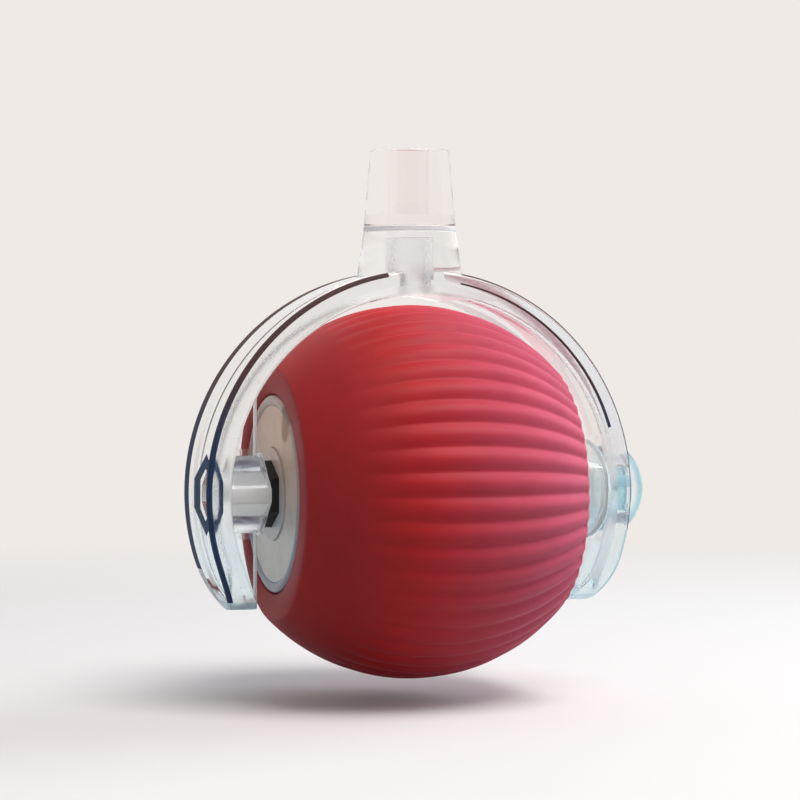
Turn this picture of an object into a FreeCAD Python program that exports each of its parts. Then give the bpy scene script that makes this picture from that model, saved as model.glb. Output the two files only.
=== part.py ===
import FreeCAD, Part
import math
import os

# Automatic jumping cat ball: a fluted silicone ball that spins inside a clear
# C-shaped yoke with a tail socket on top. Millimetres, +Z up.
# Everything is worked out round the ball's centre, with the spin axis along X,
# and is set down at the end so that the origin is the mouth of the tail socket.

# Silicone ball
ball_radius = 22.0
outline_radius = 23.5
ball_half_length = 17.0
sleeve_wall = 1.8
sleeve_corner = 1.0
sleeve_fit = 0.05

# Flutes of the silicone ball
groove_count = 48
groove_radius = 0.9
groove_depth_middle = 0.47
groove_depth_end = 0.35
groove_fade_x = -11.8
groove_first_deg = -8.84

# Shells under the silicone
shell_wall = 1.5
lap_length = 1.2
lap_fit = 0.1

# End caps
cap_radius = 11.5
cap_rim_width = 1.2
cap_edge_gap = 0.15
cap_peg_radius = 0.8
cap_peg_length = 1.1
cap_peg_inset = 1.4
cap_peg_count = 3
pry_notch_depth = 0.5
pry_notch_width = 3.2
pry_notch_turn = 34.0

# Drive hub, which the yoke keys to
neck_radius = 5.4
neck_gap = 0.3
shoulder_step = 1.2
shoulder_thickness = 0.9
running_fit = 0.05
bush_wall = 1.5
bush_flange_width = 1.0
bush_flange_thickness = 0.8
end_float = 0.3
hex_corner_radius = 4.0
hex_depth = 2.7
hex_lip = 0.6
liner_wall = 0.55
liner_floor = 0.8
column_gap = 0.3
column_wall = 0.7
key_flat_inset = 0.7
key_step = 0.4
press_fit = 0.03

# Charging jack, power button and their small board
jack_radius = 1.5
jack_bore_radius = 0.65
jack_bore_depth = 3.2
jack_drop = 1.7
button_radius = 0.95
button_rise = 1.55
button_proud = 0.4
button_travel = 0.35
button_collar_width = 0.45
button_collar_thickness = 0.7
button_stem_end_gap = 0.05
button_tail_length = 2.0
port_board_thickness = 0.8
port_board_gap = 0.1
switch_height = 1.2
switch_half_width = 1.2
led_size = 0.9
led_inset = 0.54

# Gear train
ring_teeth = 44
idler_teeth = 12
wheel_teeth = 24
pinion_teeth = 10
ring_rim = 1.3
ring_gap = 0.3
ring_face = 2.2
ring_flange_thickness = 1.3
ring_flange_width = 4.0
ring_screw_inset = 1.25
ring_screw_count = 3
ring_screw_tip_inset = 0.2
wheel_face = 1.6
gear_gap = 0.4
wheel_gap = 1.4
tooth_backlash = 0.12
tip_height_factor = 1.0
root_depth_factor = 1.25
ring_tip_factor = 0.9
pressure_deg = 25.0
idler_shaft_radius = 1.5
idler_journal_radius = 0.9
motor_shaft_radius = 0.75
motor_shaft_depth = 3.0
motor_shaft_hole_gap = 0.5

# Core inside the shells
core_gap = 0.6
core_wall = 1.0
plate_thickness = 1.2
gear_plate_thickness = 1.0
seat_gap = 0.05
axle_radius = 2.5
axle_shoulder_radius = 3.6
axle_end_inset = 0.6
axle_bush_wall = 1.5
motor_radius = 5.0
motor_end_gap = 0.4
motor_cap_length = 1.8
motor_flat_inset = 0.8
deck_thickness = 0.8
deck_cheek = 0.9
deck_cheek_height = 3.6
deck_end_gap = 0.1
battery_pad_thickness = 0.3
battery_side_gap = 0.4
battery_end_gap = 1.0
battery_corner = 1.0
ballast_depth = 2.07
ballast_gap = 0.2
board_gap = 3.5
board_thickness = 1.0
board_side_gap = 1.48
board_end_gap = 0.8
# Each part's place on the board, then its length, width and height
BOARD_PARTS = {
    "controller": (0.0, 0.0, 4.8, 4.8, 1.0),
    "motor_driver": (-4.0, 0.0, 1.2, 4.0, 1.8),
    "motion_sensor": (4.1, -1.0, 1.4, 4.0, 2.0),
    "charger": (0.0, 4.5, 3.0, 1.8, 0.8),
    "inductor": (0.0, -4.8, 3.0, 2.0, 1.2),
}
post_radius = 1.1
post_inset = 1.6
pillar_radius = 1.6
pillar_wall_gap = 0.57
pillar_turn = 42.0
boss_radius = 1.5
boss_height = 3.0
boss_sink = 0.4
boss_screw_depth = 2.5
deck_screw_depth = 3.0

# Leads inside the core
lead_radius = 0.35
lead_bend = 1.5
lead_bend_share = 0.45
lead_gap = 0.15
lead_pitch = 1.1
port_lead_drop = 1.6
motor_lead_side = 1.6
motor_lead_run = 1.2

# Screws
screw_radius = 0.7
screw_head_radius = 1.2
screw_head_height = 0.5

# Pivot hub on the free end of the ball
hub_radius = 5.7
hub_wall = 1.4
hub_flange_width = 1.5
hub_flange_thickness = 0.9
hub_fit = 0.05
dome_height = 2.4
dome_base_gap = 0.1
pocket_gap = 0.25

# Clear yoke
arch_gap = 1.1
arch_thickness = 2.9
arch_width = 11.6
arch_edge = 0.4
arm_drop = 13.35
web_thickness = 0.9
web_gap = 1.8
pivot_hole_radius = 4.1
knob_radius = 5.6
knob_height = 3.3
knob_end_gap = 0.35
knob_spigot_root = 0.8

# Drive sleeve of the yoke
key_half_height = 4.9
key_half_width = 4.1
key_wall = 0.5
key_end_gap = 1.0
key_floor = 0.9
nose_fit = 0.12
nose_wall = 0.58
nose_end_gap = 0.3

# Tail socket
base_height = 4.6
base_top_radius = 5.45
base_foot_radius = 6.3
base_foot_sink = 1.2
collar_height = 0.6
tube_height = 9.0
tube_foot_radius = 5.4
tube_top_radius = 4.67
tube_edge = 0.3
tail_bore_radius = 2.45
tail_bore_depth = 7.7
spigot_radius = 4.1
spigot_fit = 0.05
tube_pin_radius = 0.75
tube_pin_rise = 2.0
tube_pin_inset = 0.25
spigot_bore_radius = 1.9
spigot_bore_depth = 6.5

# Straight up from the spin axis, where teeth, screws and corners are counted from
top_deg = 90.0
# How near an edge must be to the place where it is looked for
edge_match = 0.01
# How far cutters run on past the faces that they cut
overrun = 1.0

# Places along the spin axis, from the driven end at -X to the free end at +X
end_x = -ball_half_length
wall_out_x = end_x + sleeve_wall
wall_in_x = wall_out_x + shell_wall
bush_in_x = wall_in_x + bush_flange_thickness
shoulder_x = bush_in_x + end_float
shoulder_end_x = shoulder_x + shoulder_thickness
ring_x = shoulder_end_x + gear_gap
ring_end_x = ring_x + ring_face
plate_x = ring_end_x + gear_gap
plate_end_x = plate_x + plate_thickness
wheel_x = plate_end_x + wheel_gap
wheel_end_x = wheel_x + wheel_face
gear_plate_x = wheel_end_x + gear_gap
motor_x = gear_plate_x + gear_plate_thickness
axle_shoulder_x = -bush_in_x - end_float
core_end_x = axle_shoulder_x - shoulder_thickness
core_end_in_x = core_end_x - plate_thickness
motor_end_x = core_end_in_x - motor_end_gap
recess_floor_x = end_x + hex_depth
liner_end_x = recess_floor_x + liner_floor
stem_end_x = liner_end_x + button_tail_length
switch_x = stem_end_x + button_travel + button_stem_end_gap
port_board_x = switch_x + switch_height

# Radii that follow from the sizes above
outline_drop = outline_radius - ball_radius
cap_inner_radius = cap_radius - cap_rim_width
cap_peg_circle = cap_inner_radius - cap_peg_inset
sleeve_opening = cap_radius + cap_edge_gap
hub_shoulder_radius = neck_radius + shoulder_step
bush_bore = neck_radius + running_fit
bush_radius = bush_bore + bush_wall
bush_flange_radius = bush_radius + bush_flange_width
axle_bush_bore = axle_radius + running_fit
axle_bush_radius = axle_bush_bore + axle_bush_wall


def outline_height(x, inset):
    """Radius of the ball's outline at x, moved in by inset."""
    return math.sqrt((outline_radius - inset) ** 2 - x * x) - outline_drop


shell_inset = sleeve_wall + shell_wall
core_reach = max(core_end_x, -plate_x)
core_radius = outline_height(core_reach, shell_inset) - core_gap
core_inner = core_radius - core_wall
ring_radius = outline_height(wall_in_x, shell_inset) - ring_gap
ring_flange_bore = ring_radius - ring_flange_width
ring_screw_circle = ring_flange_bore + ring_screw_inset
module = (ring_radius - ring_rim) / (ring_teeth / 2 + root_depth_factor)
idler_z = module * (ring_teeth - idler_teeth) / 2
motor_z = idler_z - module * (wheel_teeth + pinion_teeth) / 2
column_radius = idler_z - module * (idler_teeth / 2 + tip_height_factor) - column_gap
column_bore = column_radius - column_wall
arch_inner = ball_radius + arch_gap
arch_outer = arch_inner + arch_thickness
base_foot_z = arch_outer - base_foot_sink
base_top_z = arch_outer + base_height
collar_top_z = base_top_z + collar_height
mouth_z = collar_top_z + tube_height
dome_x = arch_inner - dome_base_gap
dome_radius = (hub_radius ** 2 + dome_height ** 2) / (2 * dome_height)
dome_centre_x = dome_x + dome_height - dome_radius


# Levels and half widths inside the core
deck_top_z = motor_z - motor_radius
deck_z = deck_top_z - deck_thickness
deck_x0 = motor_x + screw_head_height + deck_end_gap
deck_x1 = core_end_in_x - deck_end_gap
battery_top_z = deck_z - battery_pad_thickness
ballast_top_z = ballast_depth + seat_gap - core_inner
battery_z = ballast_top_z + ballast_gap
battery_half = math.sqrt(core_inner ** 2 - battery_z ** 2) - battery_side_gap
board_z = motor_z + motor_radius + board_gap
board_top_z = board_z + board_thickness
board_middle_z = (board_z + board_top_z) / 2
board_edge_y = math.sqrt(core_inner ** 2 - board_top_z ** 2)
board_half_width = board_edge_y - board_side_gap
pillar_circle = core_inner - pillar_wall_gap - pillar_radius

# Basic solids


def shift(x, y, z):
    """A place as the modeller's own vector."""
    return FreeCAD.Vector(x, y, z)


ORIGIN = shift(0, 0, 0)
ALONG_X = shift(1, 0, 0)
ALONG_Y = shift(0, 1, 0)
ALONG_Z = shift(0, 0, 1)


def rod_x(x0, x1, radius, y=0.0, z=0.0):
    """Round bar from x0 to x1."""
    return Part.makeCylinder(radius, x1 - x0, shift(x0, y, z), ALONG_X)


def tube_x(x0, x1, outer, inner, y=0.0, z=0.0):
    """Tube from x0 to x1."""
    return rod_x(x0, x1, outer, y, z).cut(rod_x(x0, x1, inner, y, z))


def rod_z(z0, z1, radius, x=0.0, y=0.0):
    """Upright round bar from z0 to z1."""
    return Part.makeCylinder(radius, z1 - z0, shift(x, y, z0), ALONG_Z)


def block(x0, x1, y0, y1, z0, z1):
    """Rectangular block between two corners."""
    return Part.makeBox(x1 - x0, y1 - y0, z1 - z0, shift(x0, y0, z0))


def prism_x(corners, x0, x1):
    """Solid whose (y, z) outline runs from x0 to x1."""
    points = [shift(x0, y, z) for y, z in corners]
    face = Part.Face(Part.makePolygon(points + points[:1]))
    return face.extrude(shift(x1 - x0, 0, 0))


def turned(edges):
    """Solid turned about the spin axis from an outline in the XY plane."""
    return Part.Face(Part.Wire(Part.__sortEdges__(edges))).revolve(ORIGIN, ALONG_X, 360)


def turned_polygon(points):
    """Solid turned about the spin axis from (x, radius) corners."""
    corners = [shift(x, radius, 0) for x, radius in points]
    return Part.Face(Part.makePolygon(corners + corners[:1])).revolve(ORIGIN, ALONG_X, 360)


def line(start, end):
    """Straight outline edge between two (x, radius) points."""
    return Part.makeLine(shift(start[0], start[1], 0), shift(end[0], end[1], 0))


def fused(solids):
    """One clean solid from several that touch."""
    return solids[0].multiFuse(solids[1:]).removeSplitter()


def around(count, first_deg):
    """Equal turns about the spin axis, in degrees."""
    return [first_deg + 360.0 * k / count for k in range(count)]


def ring_places(count, radius, first_deg):
    """Places spaced equally on a circle round the spin axis, as (y, z)."""
    turns = [math.radians(a) for a in around(count, first_deg)]
    return [(radius * math.cos(a), radius * math.sin(a)) for a in turns]


def lead(points):
    """Thin wire along straight runs joined by tangent arcs."""
    places = [shift(*point) for point in points]
    starts = [places[0]]
    edges = []
    for before, corner, after in zip(places, places[1:], places[2:]):
        into = (corner - before).normalize()
        out = (after - corner).normalize()
        turn = into.getAngle(out)
        shortest = min(before.distanceToPoint(corner), corner.distanceToPoint(after))
        reach = min(lead_bend * math.tan(turn / 2), lead_bend_share * shortest)
        bend = reach / math.tan(turn / 2)
        inward = (out - into).normalize()
        middle = corner + inward * (bend / math.cos(turn / 2) - bend)
        arc_start = corner - into * reach
        arc_end = corner + out * reach
        edges.append(Part.makeLine(starts[-1], arc_start))
        edges.append(Part.Arc(arc_start, middle, arc_end).toShape())
        starts.append(arc_end)
    edges.append(Part.makeLine(starts[-1], places[-1]))
    direction = places[1] - places[0]
    section = Part.Wire(Part.makeCircle(lead_radius, places[0], direction))
    return Part.Wire(edges).makePipeShell([section], True, False)


def turned_copy(shape, degrees):
    """Copy of a shape turned about the spin axis."""
    copy = shape.copy()
    copy.rotate(ORIGIN, ALONG_X, degrees)
    return copy


def mirrored(shape):
    """Copy of a shape for the other end of the ball."""
    return shape.mirror(ORIGIN, ALONG_X)


def hexagon(corner_radius):
    """Hexagon outline with a corner at the top."""
    return ring_places(6, corner_radius, top_deg)


def screw_x(x_head, x_tip, y, z):
    """Screw along X with its head's underside at x_head."""
    side = 1 if x_tip > x_head else -1
    shank = rod_x(min(x_head, x_tip), max(x_head, x_tip), screw_radius, y, z)
    head_end = x_head - side * screw_head_height
    head = rod_x(min(x_head, head_end), max(x_head, head_end), screw_head_radius, y, z)
    return fused([shank, head])


def screw_z(z_head, z_tip, x, y):
    """Screw pointing down with its head's underside at z_head."""
    shank = rod_z(z_tip, z_head, screw_radius, x, y)
    head = rod_z(z_head, z_head + screw_head_height, screw_head_radius, x, y)
    return fused([shank, head])


# Silicone sleeve and shells


def outline_arc(x0, x1, inset):
    """Stretch of the ball's outline from x0 to x1, moved in by inset."""
    middle = (x0 + x1) / 2
    points = [shift(x, outline_height(x, inset), 0) for x in (x0, middle, x1)]
    return Part.Arc(*points).toShape()


def skin(outer_inset, inner_inset, outer_end, inner_end, opening):
    """Ball skin between two insets, flat at both ends, with a round opening."""
    outer_height = outline_height(outer_end, outer_inset)
    inner_height = outline_height(inner_end, inner_inset)
    edges = [
        outline_arc(-outer_end, outer_end, outer_inset),
        outline_arc(-inner_end, inner_end, inner_inset),
    ]
    for side in (-1, 1):
        edges.append(line((side * outer_end, outer_height), (side * outer_end, opening)))
        edges.append(line((side * outer_end, opening), (side * inner_end, opening)))
        edges.append(line((side * inner_end, opening), (side * inner_end, inner_height)))
    return turned(edges)


def groove_cutter():
    """Bent rod that presses one flute valley into the near side of the ball."""
    def pushed_out(x, depth):
        reach = 1 + (groove_radius - depth) / outline_radius
        return shift(x * reach, (outline_height(x, 0) + outline_drop) * reach - outline_drop, 0)

    path = Part.Arc(
        pushed_out(ball_half_length, groove_depth_end),
        pushed_out(0.0, groove_depth_middle),
        pushed_out(groove_fade_x, 0.0),
    ).toShape().Curve
    centre = path.Center
    start = math.acos((ball_half_length + overrun - centre.x) / path.Radius)
    finish = math.acos((groove_fade_x - overrun - centre.x) / path.Radius)
    section_at = centre + shift(math.cos(start), math.sin(start), 0) * path.Radius
    tangent = shift(-math.sin(start), math.cos(start), 0)
    section = Part.Face(Part.Wire(Part.makeCircle(groove_radius, section_at, tangent)))
    rod = section.revolve(centre, ALONG_Z, math.degrees(finish - start))
    rod.rotate(ORIGIN, ALONG_X, 180)
    return rod


def silicone_sleeve():
    """Fluted silicone ball, open at both ends."""
    inner_end = ball_half_length - sleeve_wall + sleeve_fit
    body = skin(0, sleeve_wall - sleeve_fit, ball_half_length, inner_end, sleeve_opening)
    corner_height = outline_height(ball_half_length, 0)
    rims = [
        edge for edge in body.Edges
        if abs(edge.BoundBox.ZMax - corner_height) < edge_match and edge.BoundBox.XLength < edge_match
    ]
    body = body.makeFillet(sleeve_corner, rims)
    cutter = groove_cutter()
    return body.cut([turned_copy(cutter, a) for a in around(groove_count, groove_first_deg)])


def shell_half(side):
    """One shell half with its end wall, before the lap joint is made."""
    whole = skin(sleeve_wall, shell_inset, -wall_out_x, -wall_in_x, bush_radius)
    size = 2 * ball_radius
    low = -size if side < 0 else 0
    return whole.common(block(low, low + size, -size, size, -size, size))


def lap_ring(extra):
    """Ring of the lap joint on the inner half of the wall at the seam."""
    inner = outline_height(lap_length + extra, shell_inset)
    outer = outline_height(0, sleeve_wall + shell_wall / 2) + extra
    return tube_x(-lap_length, lap_length + extra, outer, inner - extra)


def ring_screw_places():
    """Places of the screws that hold the ring gear, as (y, z)."""
    return ring_places(ring_screw_count, ring_screw_circle, top_deg)


def peg_places():
    """Places of the cap pegs, as (y, z), half way between the screws."""
    return ring_places(cap_peg_count, cap_peg_circle, top_deg + 180.0 / cap_peg_count)


def peg_holes():
    """Blind holes for the pegs of the driven end's cap."""
    floor_x = wall_out_x + cap_peg_length + seat_gap
    return [rod_x(wall_out_x, floor_x, cap_peg_radius + press_fit, y, z) for y, z in peg_places()]


def left_shell():
    """Shell half at the driven end."""
    lip = lap_ring(0).cut(skin(0, sleeve_wall, ball_half_length, -wall_out_x, sleeve_opening))
    body = fused([shell_half(-1), lip])
    holes = [rod_x(wall_out_x, wall_in_x, screw_radius, y, z) for y, z in ring_screw_places()]
    return body.cut(holes + peg_holes())


def right_shell():
    """Shell half at the free end."""
    plug = tube_x(-wall_in_x, -wall_out_x, bush_radius, axle_bush_radius)
    body = fused([shell_half(1), plug])
    return body.cut([lap_ring(lap_fit)] + [mirrored(hole) for hole in peg_holes()])


# End caps


def pry_notch():
    """Cutter for the notch that lifts a cap out."""
    notch_centre = cap_radius - pry_notch_width / 2 - cap_rim_width / 2
    depth_x = end_x + pry_notch_depth
    half = pry_notch_width / 2
    round_end = rod_x(end_x, depth_x, half, 0, notch_centre)
    slot = block(end_x, depth_x, -half, half, notch_centre, cap_radius)
    return turned_copy(fused([round_end, slot]), pry_notch_turn)


def cap_disc(bore):
    """Translucent cap disc with its pegs."""
    disc = tube_x(end_x, wall_out_x, cap_inner_radius, bore)
    tip_x = wall_out_x + cap_peg_length
    pegs = [rod_x(wall_out_x, tip_x, cap_peg_radius, y, z) for y, z in peg_places()]
    return fused([disc] + pegs)


def left_cap():
    """Translucent cap of the driven end."""
    return cap_disc(neck_radius + neck_gap).cut(pry_notch())


def left_cap_rim():
    """Darker rim round the driven end's cap."""
    return tube_x(end_x, wall_out_x, cap_radius, cap_inner_radius).cut(pry_notch())


def right_cap():
    """Cap of the free end, which clamps the pivot hub's flange."""
    disc = cap_disc(hub_radius + hub_fit).cut(pry_notch())
    flange_room = hub_flange_thickness + hub_fit
    seat = rod_x(wall_out_x - flange_room, wall_out_x, hub_radius + hub_flange_width + hub_fit)
    return mirrored(disc.cut(seat))


def right_cap_rim():
    """Darker rim round the free end's cap."""
    return mirrored(left_cap_rim())


# Bearings


def drive_bush():
    """Flanged bush in the driven end's wall, round the hub's neck."""
    sleeve = tube_x(wall_out_x, wall_in_x, bush_radius, bush_bore)
    flange = tube_x(wall_in_x, bush_in_x, bush_flange_radius, bush_bore)
    return fused([sleeve, flange])


def axle_bush():
    """Flanged bush in the free end's wall, round the core's axle."""
    sleeve = tube_x(-wall_in_x, -wall_out_x, axle_bush_radius, axle_bush_bore)
    flange = tube_x(-bush_in_x, -wall_in_x, axle_bush_radius + bush_flange_width, axle_bush_bore)
    return fused([sleeve, flange])


# Drive hub with its socket


def drive_hub():
    """Translucent hub that passes through the driven end's bearing."""
    neck = rod_x(end_x, shoulder_x, neck_radius)
    shoulder = rod_x(shoulder_x, shoulder_end_x, hub_shoulder_radius)
    column = rod_x(shoulder_end_x, plate_x, column_radius)
    body = fused([neck, shoulder, column, hub_key(0)])
    window = prism_x(hexagon(hex_corner_radius), end_x, end_x + hex_lip)
    liner_pocket = prism_x(hexagon(hex_corner_radius + liner_wall), end_x + hex_lip, liner_end_x)
    bore = rod_x(liner_end_x, plate_end_x, column_bore)
    return body.cut([window, liner_pocket, bore])


def hub_key(gap):
    """Flatted end of the hub, which the core's plate holds."""
    barrel = rod_x(plate_x, plate_end_x, column_radius - key_step + gap)
    half = column_radius - key_flat_inset + gap
    size = 2 * column_radius
    return barrel.common(block(plate_x, plate_end_x, -half, half, -size, size))


def hex_liner():
    """Black hexagonal socket, with holes for the jack and the button."""
    body = prism_x(hexagon(hex_corner_radius + liner_wall), end_x + hex_lip, liner_end_x)
    recess = prism_x(hexagon(hex_corner_radius), end_x + hex_lip, recess_floor_x)
    jack_hole = rod_x(recess_floor_x, liner_end_x, jack_radius, 0, -jack_drop)
    button_hole = rod_x(recess_floor_x, liner_end_x, button_radius + running_fit, 0, button_rise)
    return body.cut([recess, jack_hole, button_hole])


def charging_jack():
    """Round charging jack at the bottom of the socket."""
    barrel = rod_x(recess_floor_x, port_board_x, jack_radius, 0, -jack_drop)
    bore = rod_x(recess_floor_x, recess_floor_x + jack_bore_depth, jack_bore_radius, 0, -jack_drop)
    return barrel.cut(bore)


def power_button():
    """Power button with the collar that keeps it in."""
    stem = rod_x(recess_floor_x - button_proud, stem_end_x, button_radius, 0, button_rise)
    collar_x = liner_end_x + end_float
    collar_radius = button_radius + button_collar_width
    collar = rod_x(collar_x, collar_x + button_collar_thickness, collar_radius, 0, button_rise)
    return fused([stem, collar])


def button_switch():
    """Push switch behind the button."""
    half = switch_half_width
    return block(switch_x, port_board_x, -half, half, button_rise - half, button_rise + half)


def port_board():
    """Small round board that carries the jack and the switch."""
    return rod_x(port_board_x, port_board_x + port_board_thickness, column_bore - port_board_gap)


def status_led():
    """Small lamp on the port board that shines through the hub."""
    y = column_bore - port_board_gap - led_inset - led_size
    half = led_size / 2
    return block(port_board_x - led_size, port_board_x, y, y + led_size, -half, half)


# Gear train


def gear_solid(teeth, tip, root, tooth_arc, x0, x1, phase_deg):
    """Toothed prism along X; tooth_arc is a tooth's width on the pitch circle."""
    pitch = module * teeth / 2
    base = pitch * math.cos(math.radians(pressure_deg))

    def involute(radius):
        if radius <= base:
            return 0.0
        return math.sqrt((radius / base) ** 2 - 1) - math.acos(base / radius)

    def half_angle(radius):
        return tooth_arc / (2 * pitch) + involute(pitch) - involute(radius)

    def at(radius, angle):
        return shift(x0, radius * math.cos(angle), radius * math.sin(angle))

    def land(radius, middle, half):
        return Part.Arc(*[at(radius, middle + turn) for turn in (-half, 0, half)]).toShape()

    edges = []
    step = 2 * math.pi / teeth
    for k in range(teeth):
        middle = math.radians(phase_deg) + k * step
        for side in (-1, 1):
            flank = [at(r, middle + side * half_angle(r)) for r in (root, (root + tip) / 2, tip)]
            edges.append(Part.Arc(*flank).toShape())
        edges.append(land(tip, middle, half_angle(tip)))
        edges.append(land(root, middle + step / 2, step / 2 - half_angle(root)))
    wire = Part.Wire(Part.__sortEdges__(edges))
    return Part.Face(wire).extrude(shift(x1 - x0, 0, 0))


def outer_gear(teeth, x0, x1, phase_deg):
    """External gear with half the backlash taken off its teeth."""
    pitch = module * teeth / 2
    tip = pitch + tip_height_factor * module
    root = pitch - root_depth_factor * module
    tooth_arc = math.pi * module / 2 - tooth_backlash / 2
    return gear_solid(teeth, tip, root, tooth_arc, x0, x1, phase_deg)


def ring_gear():
    """Internal gear with the flange that screws to the driven end's wall."""
    pitch = module * ring_teeth / 2
    bore = pitch + root_depth_factor * module
    tip = pitch - ring_tip_factor * module
    flange_end = wall_in_x + ring_flange_thickness
    rim = rod_x(flange_end, ring_end_x, ring_radius)
    space_arc = math.pi * module / 2 + tooth_backlash / 2
    spaces = gear_solid(ring_teeth, bore, tip, space_arc, ring_x, ring_end_x, top_deg)
    flange = tube_x(wall_in_x, flange_end, ring_radius, ring_flange_bore)
    rim = rim.cut([spaces, rod_x(flange_end, ring_x, bore)])
    holes = [rod_x(wall_in_x, flange_end, screw_radius, y, z) for y, z in ring_screw_places()]
    return fused([rim, flange]).cut(holes)


def ring_screws():
    """Screws that hold the ring gear to the shell."""
    head_x = wall_in_x + ring_flange_thickness
    tip_x = wall_out_x + ring_screw_tip_inset
    return Part.makeCompound([screw_x(head_x, tip_x, y, z) for y, z in ring_screw_places()])


def idler_pinion():
    """Small gear and shaft that drive the ring gear."""
    gear = outer_gear(idler_teeth, ring_x, ring_end_x, top_deg)
    shaft = rod_x(ring_end_x, wheel_end_x, idler_shaft_radius)
    journal = rod_x(wheel_end_x, motor_x - seat_gap, idler_journal_radius)
    body = fused([gear, shaft, journal])
    body.translate(shift(0, 0, idler_z))
    return body


def idler_wheel():
    """Large gear on the idler shaft, which the motor drives."""
    gear = outer_gear(wheel_teeth, wheel_x, wheel_end_x, top_deg)
    body = gear.cut(rod_x(wheel_x, wheel_end_x, idler_shaft_radius))
    body.translate(shift(0, 0, idler_z))
    return body


def motor_pinion():
    """Pinion pressed on the motor's shaft."""
    space_on_top_deg = top_deg + 180.0 / pinion_teeth
    gear = outer_gear(pinion_teeth, wheel_x, wheel_end_x, space_on_top_deg)
    body = gear.cut(rod_x(wheel_x, wheel_end_x, motor_shaft_radius))
    body.translate(shift(0, 0, motor_z))
    return body


def motor_shaft():
    """Motor shaft, from the pinion into the motor."""
    return rod_x(wheel_x, motor_x + motor_shaft_depth, motor_shaft_radius, 0, motor_z)


# Core


def half_drum(upper):
    """Half of the core's round wall."""
    x0 = motor_x if upper else plate_end_x
    tube = tube_x(x0, core_end_in_x, core_radius, core_inner)
    size = 2 * core_radius
    if upper:
        return tube.common(block(x0, core_end_in_x, -size, size, seat_gap / 2, size))
    return tube.common(block(x0, core_end_in_x, -size, size, -size, -seat_gap / 2))


boss_y = core_inner - boss_radius + boss_sink
boss_x = (motor_x + core_end_in_x) / 2


def boss(z0, z1, side):
    """Screw boss on the inside of the drum wall."""
    post = rod_z(z0, z1, boss_radius, boss_x, side * boss_y)
    return post.common(rod_x(motor_x, core_end_in_x, (core_inner + core_radius) / 2))


def pillar_places():
    """Places of the pillars between the two gear plates, as (y, z)."""
    turn = math.radians(pillar_turn)
    return [(side * pillar_circle * math.sin(turn), -pillar_circle * math.cos(turn)) for side in (-1, 1)]


def core_frame():
    """Lower half of the core, with both end plates and the axle."""
    plate = rod_x(plate_x, plate_end_x, core_radius)
    far_plate = rod_x(core_end_in_x, core_end_x, core_radius)
    axle_shoulder = rod_x(core_end_x, axle_shoulder_x, axle_shoulder_radius)
    axle = rod_x(axle_shoulder_x, -wall_out_x - axle_end_inset, axle_radius)
    pillars = [rod_x(plate_end_x, gear_plate_x, pillar_radius, y, z) for y, z in pillar_places()]
    bosses = [boss(-boss_height, -seat_gap / 2, side) for side in (-1, 1)]
    body = fused([plate, half_drum(False), far_plate, axle_shoulder, axle] + pillars + bosses)
    cuts = [hub_key(seat_gap), rod_x(plate_x, plate_end_x, idler_shaft_radius + running_fit, 0, idler_z)]
    cuts += [rod_x(plate_end_x, gear_plate_x, screw_radius, y, z) for y, z in pillar_places()]
    cuts += [rod_z(-boss_screw_depth, 0, screw_radius, boss_x, side * boss_y) for side in (-1, 1)]
    return body.cut(cuts)


def core_cover():
    """Upper half of the core's wall, screwed down at two bosses."""
    bosses = [boss(seat_gap / 2, boss_height, side) for side in (-1, 1)]
    body = fused([half_drum(True)] + bosses)
    cuts = []
    for side in (-1, 1):
        cuts.append(rod_z(0, boss_height, screw_radius, boss_x, side * boss_y))
        cuts.append(rod_z(boss_height, core_radius, boss_radius, boss_x, side * boss_y))
    return body.cut(cuts)


def gear_plate():
    """Inner plate that carries the idler's journal and the motor's front."""
    disc = rod_x(gear_plate_x, motor_x, core_inner - seat_gap)
    cuts = [
        rod_x(gear_plate_x, motor_x, idler_journal_radius + running_fit, 0, idler_z),
        rod_x(gear_plate_x, motor_x, motor_shaft_radius + motor_shaft_hole_gap, 0, motor_z),
    ]
    cuts += [rod_x(gear_plate_x, motor_x, screw_radius, y, z) for y, z in pillar_places()]
    hole = lead_radius + lead_gap
    cuts += [rod_x(gear_plate_x, motor_x, hole, -channel_y, z) for z in port_lead_zs]
    return disc.cut(cuts)


def motor_outline(x0, x1):
    """Round motor section with two flats."""
    half = motor_radius - motor_flat_inset
    barrel = rod_x(x0, x1, motor_radius, 0, motor_z)
    return barrel.common(block(x0, x1, -half, half, motor_z - motor_radius, motor_z + motor_radius))


def drive_motor():
    """Motor can."""
    bore = rod_x(motor_x, motor_x + motor_shaft_depth, motor_shaft_radius + running_fit, 0, motor_z)
    return motor_outline(motor_x, motor_end_x - motor_cap_length).cut(bore)


def motor_cap():
    """Plastic end of the motor, where its leads leave."""
    return motor_outline(motor_end_x - motor_cap_length, motor_end_x)


def post_places():
    """Places of the circuit board's posts, as (x, y)."""
    y = board_half_width - post_inset
    xs = (deck_x0 + board_end_gap + post_inset, deck_x1 - board_end_gap - post_inset)
    return [(x, side * y) for x in xs for side in (-1, 1)]


channel_y = board_edge_y - lead_radius - lead_gap
battery_lead_z = -board_middle_z
lead_x0 = deck_x0 + board_end_gap + lead_pitch
lead_xs = (lead_x0, lead_x0 + lead_pitch)
port_lead_zs = (-port_lead_drop, -port_lead_drop - lead_pitch)
battery_lead_xs = (boss_x + boss_radius + lead_pitch, boss_x + boss_radius + 2 * lead_pitch)


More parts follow.
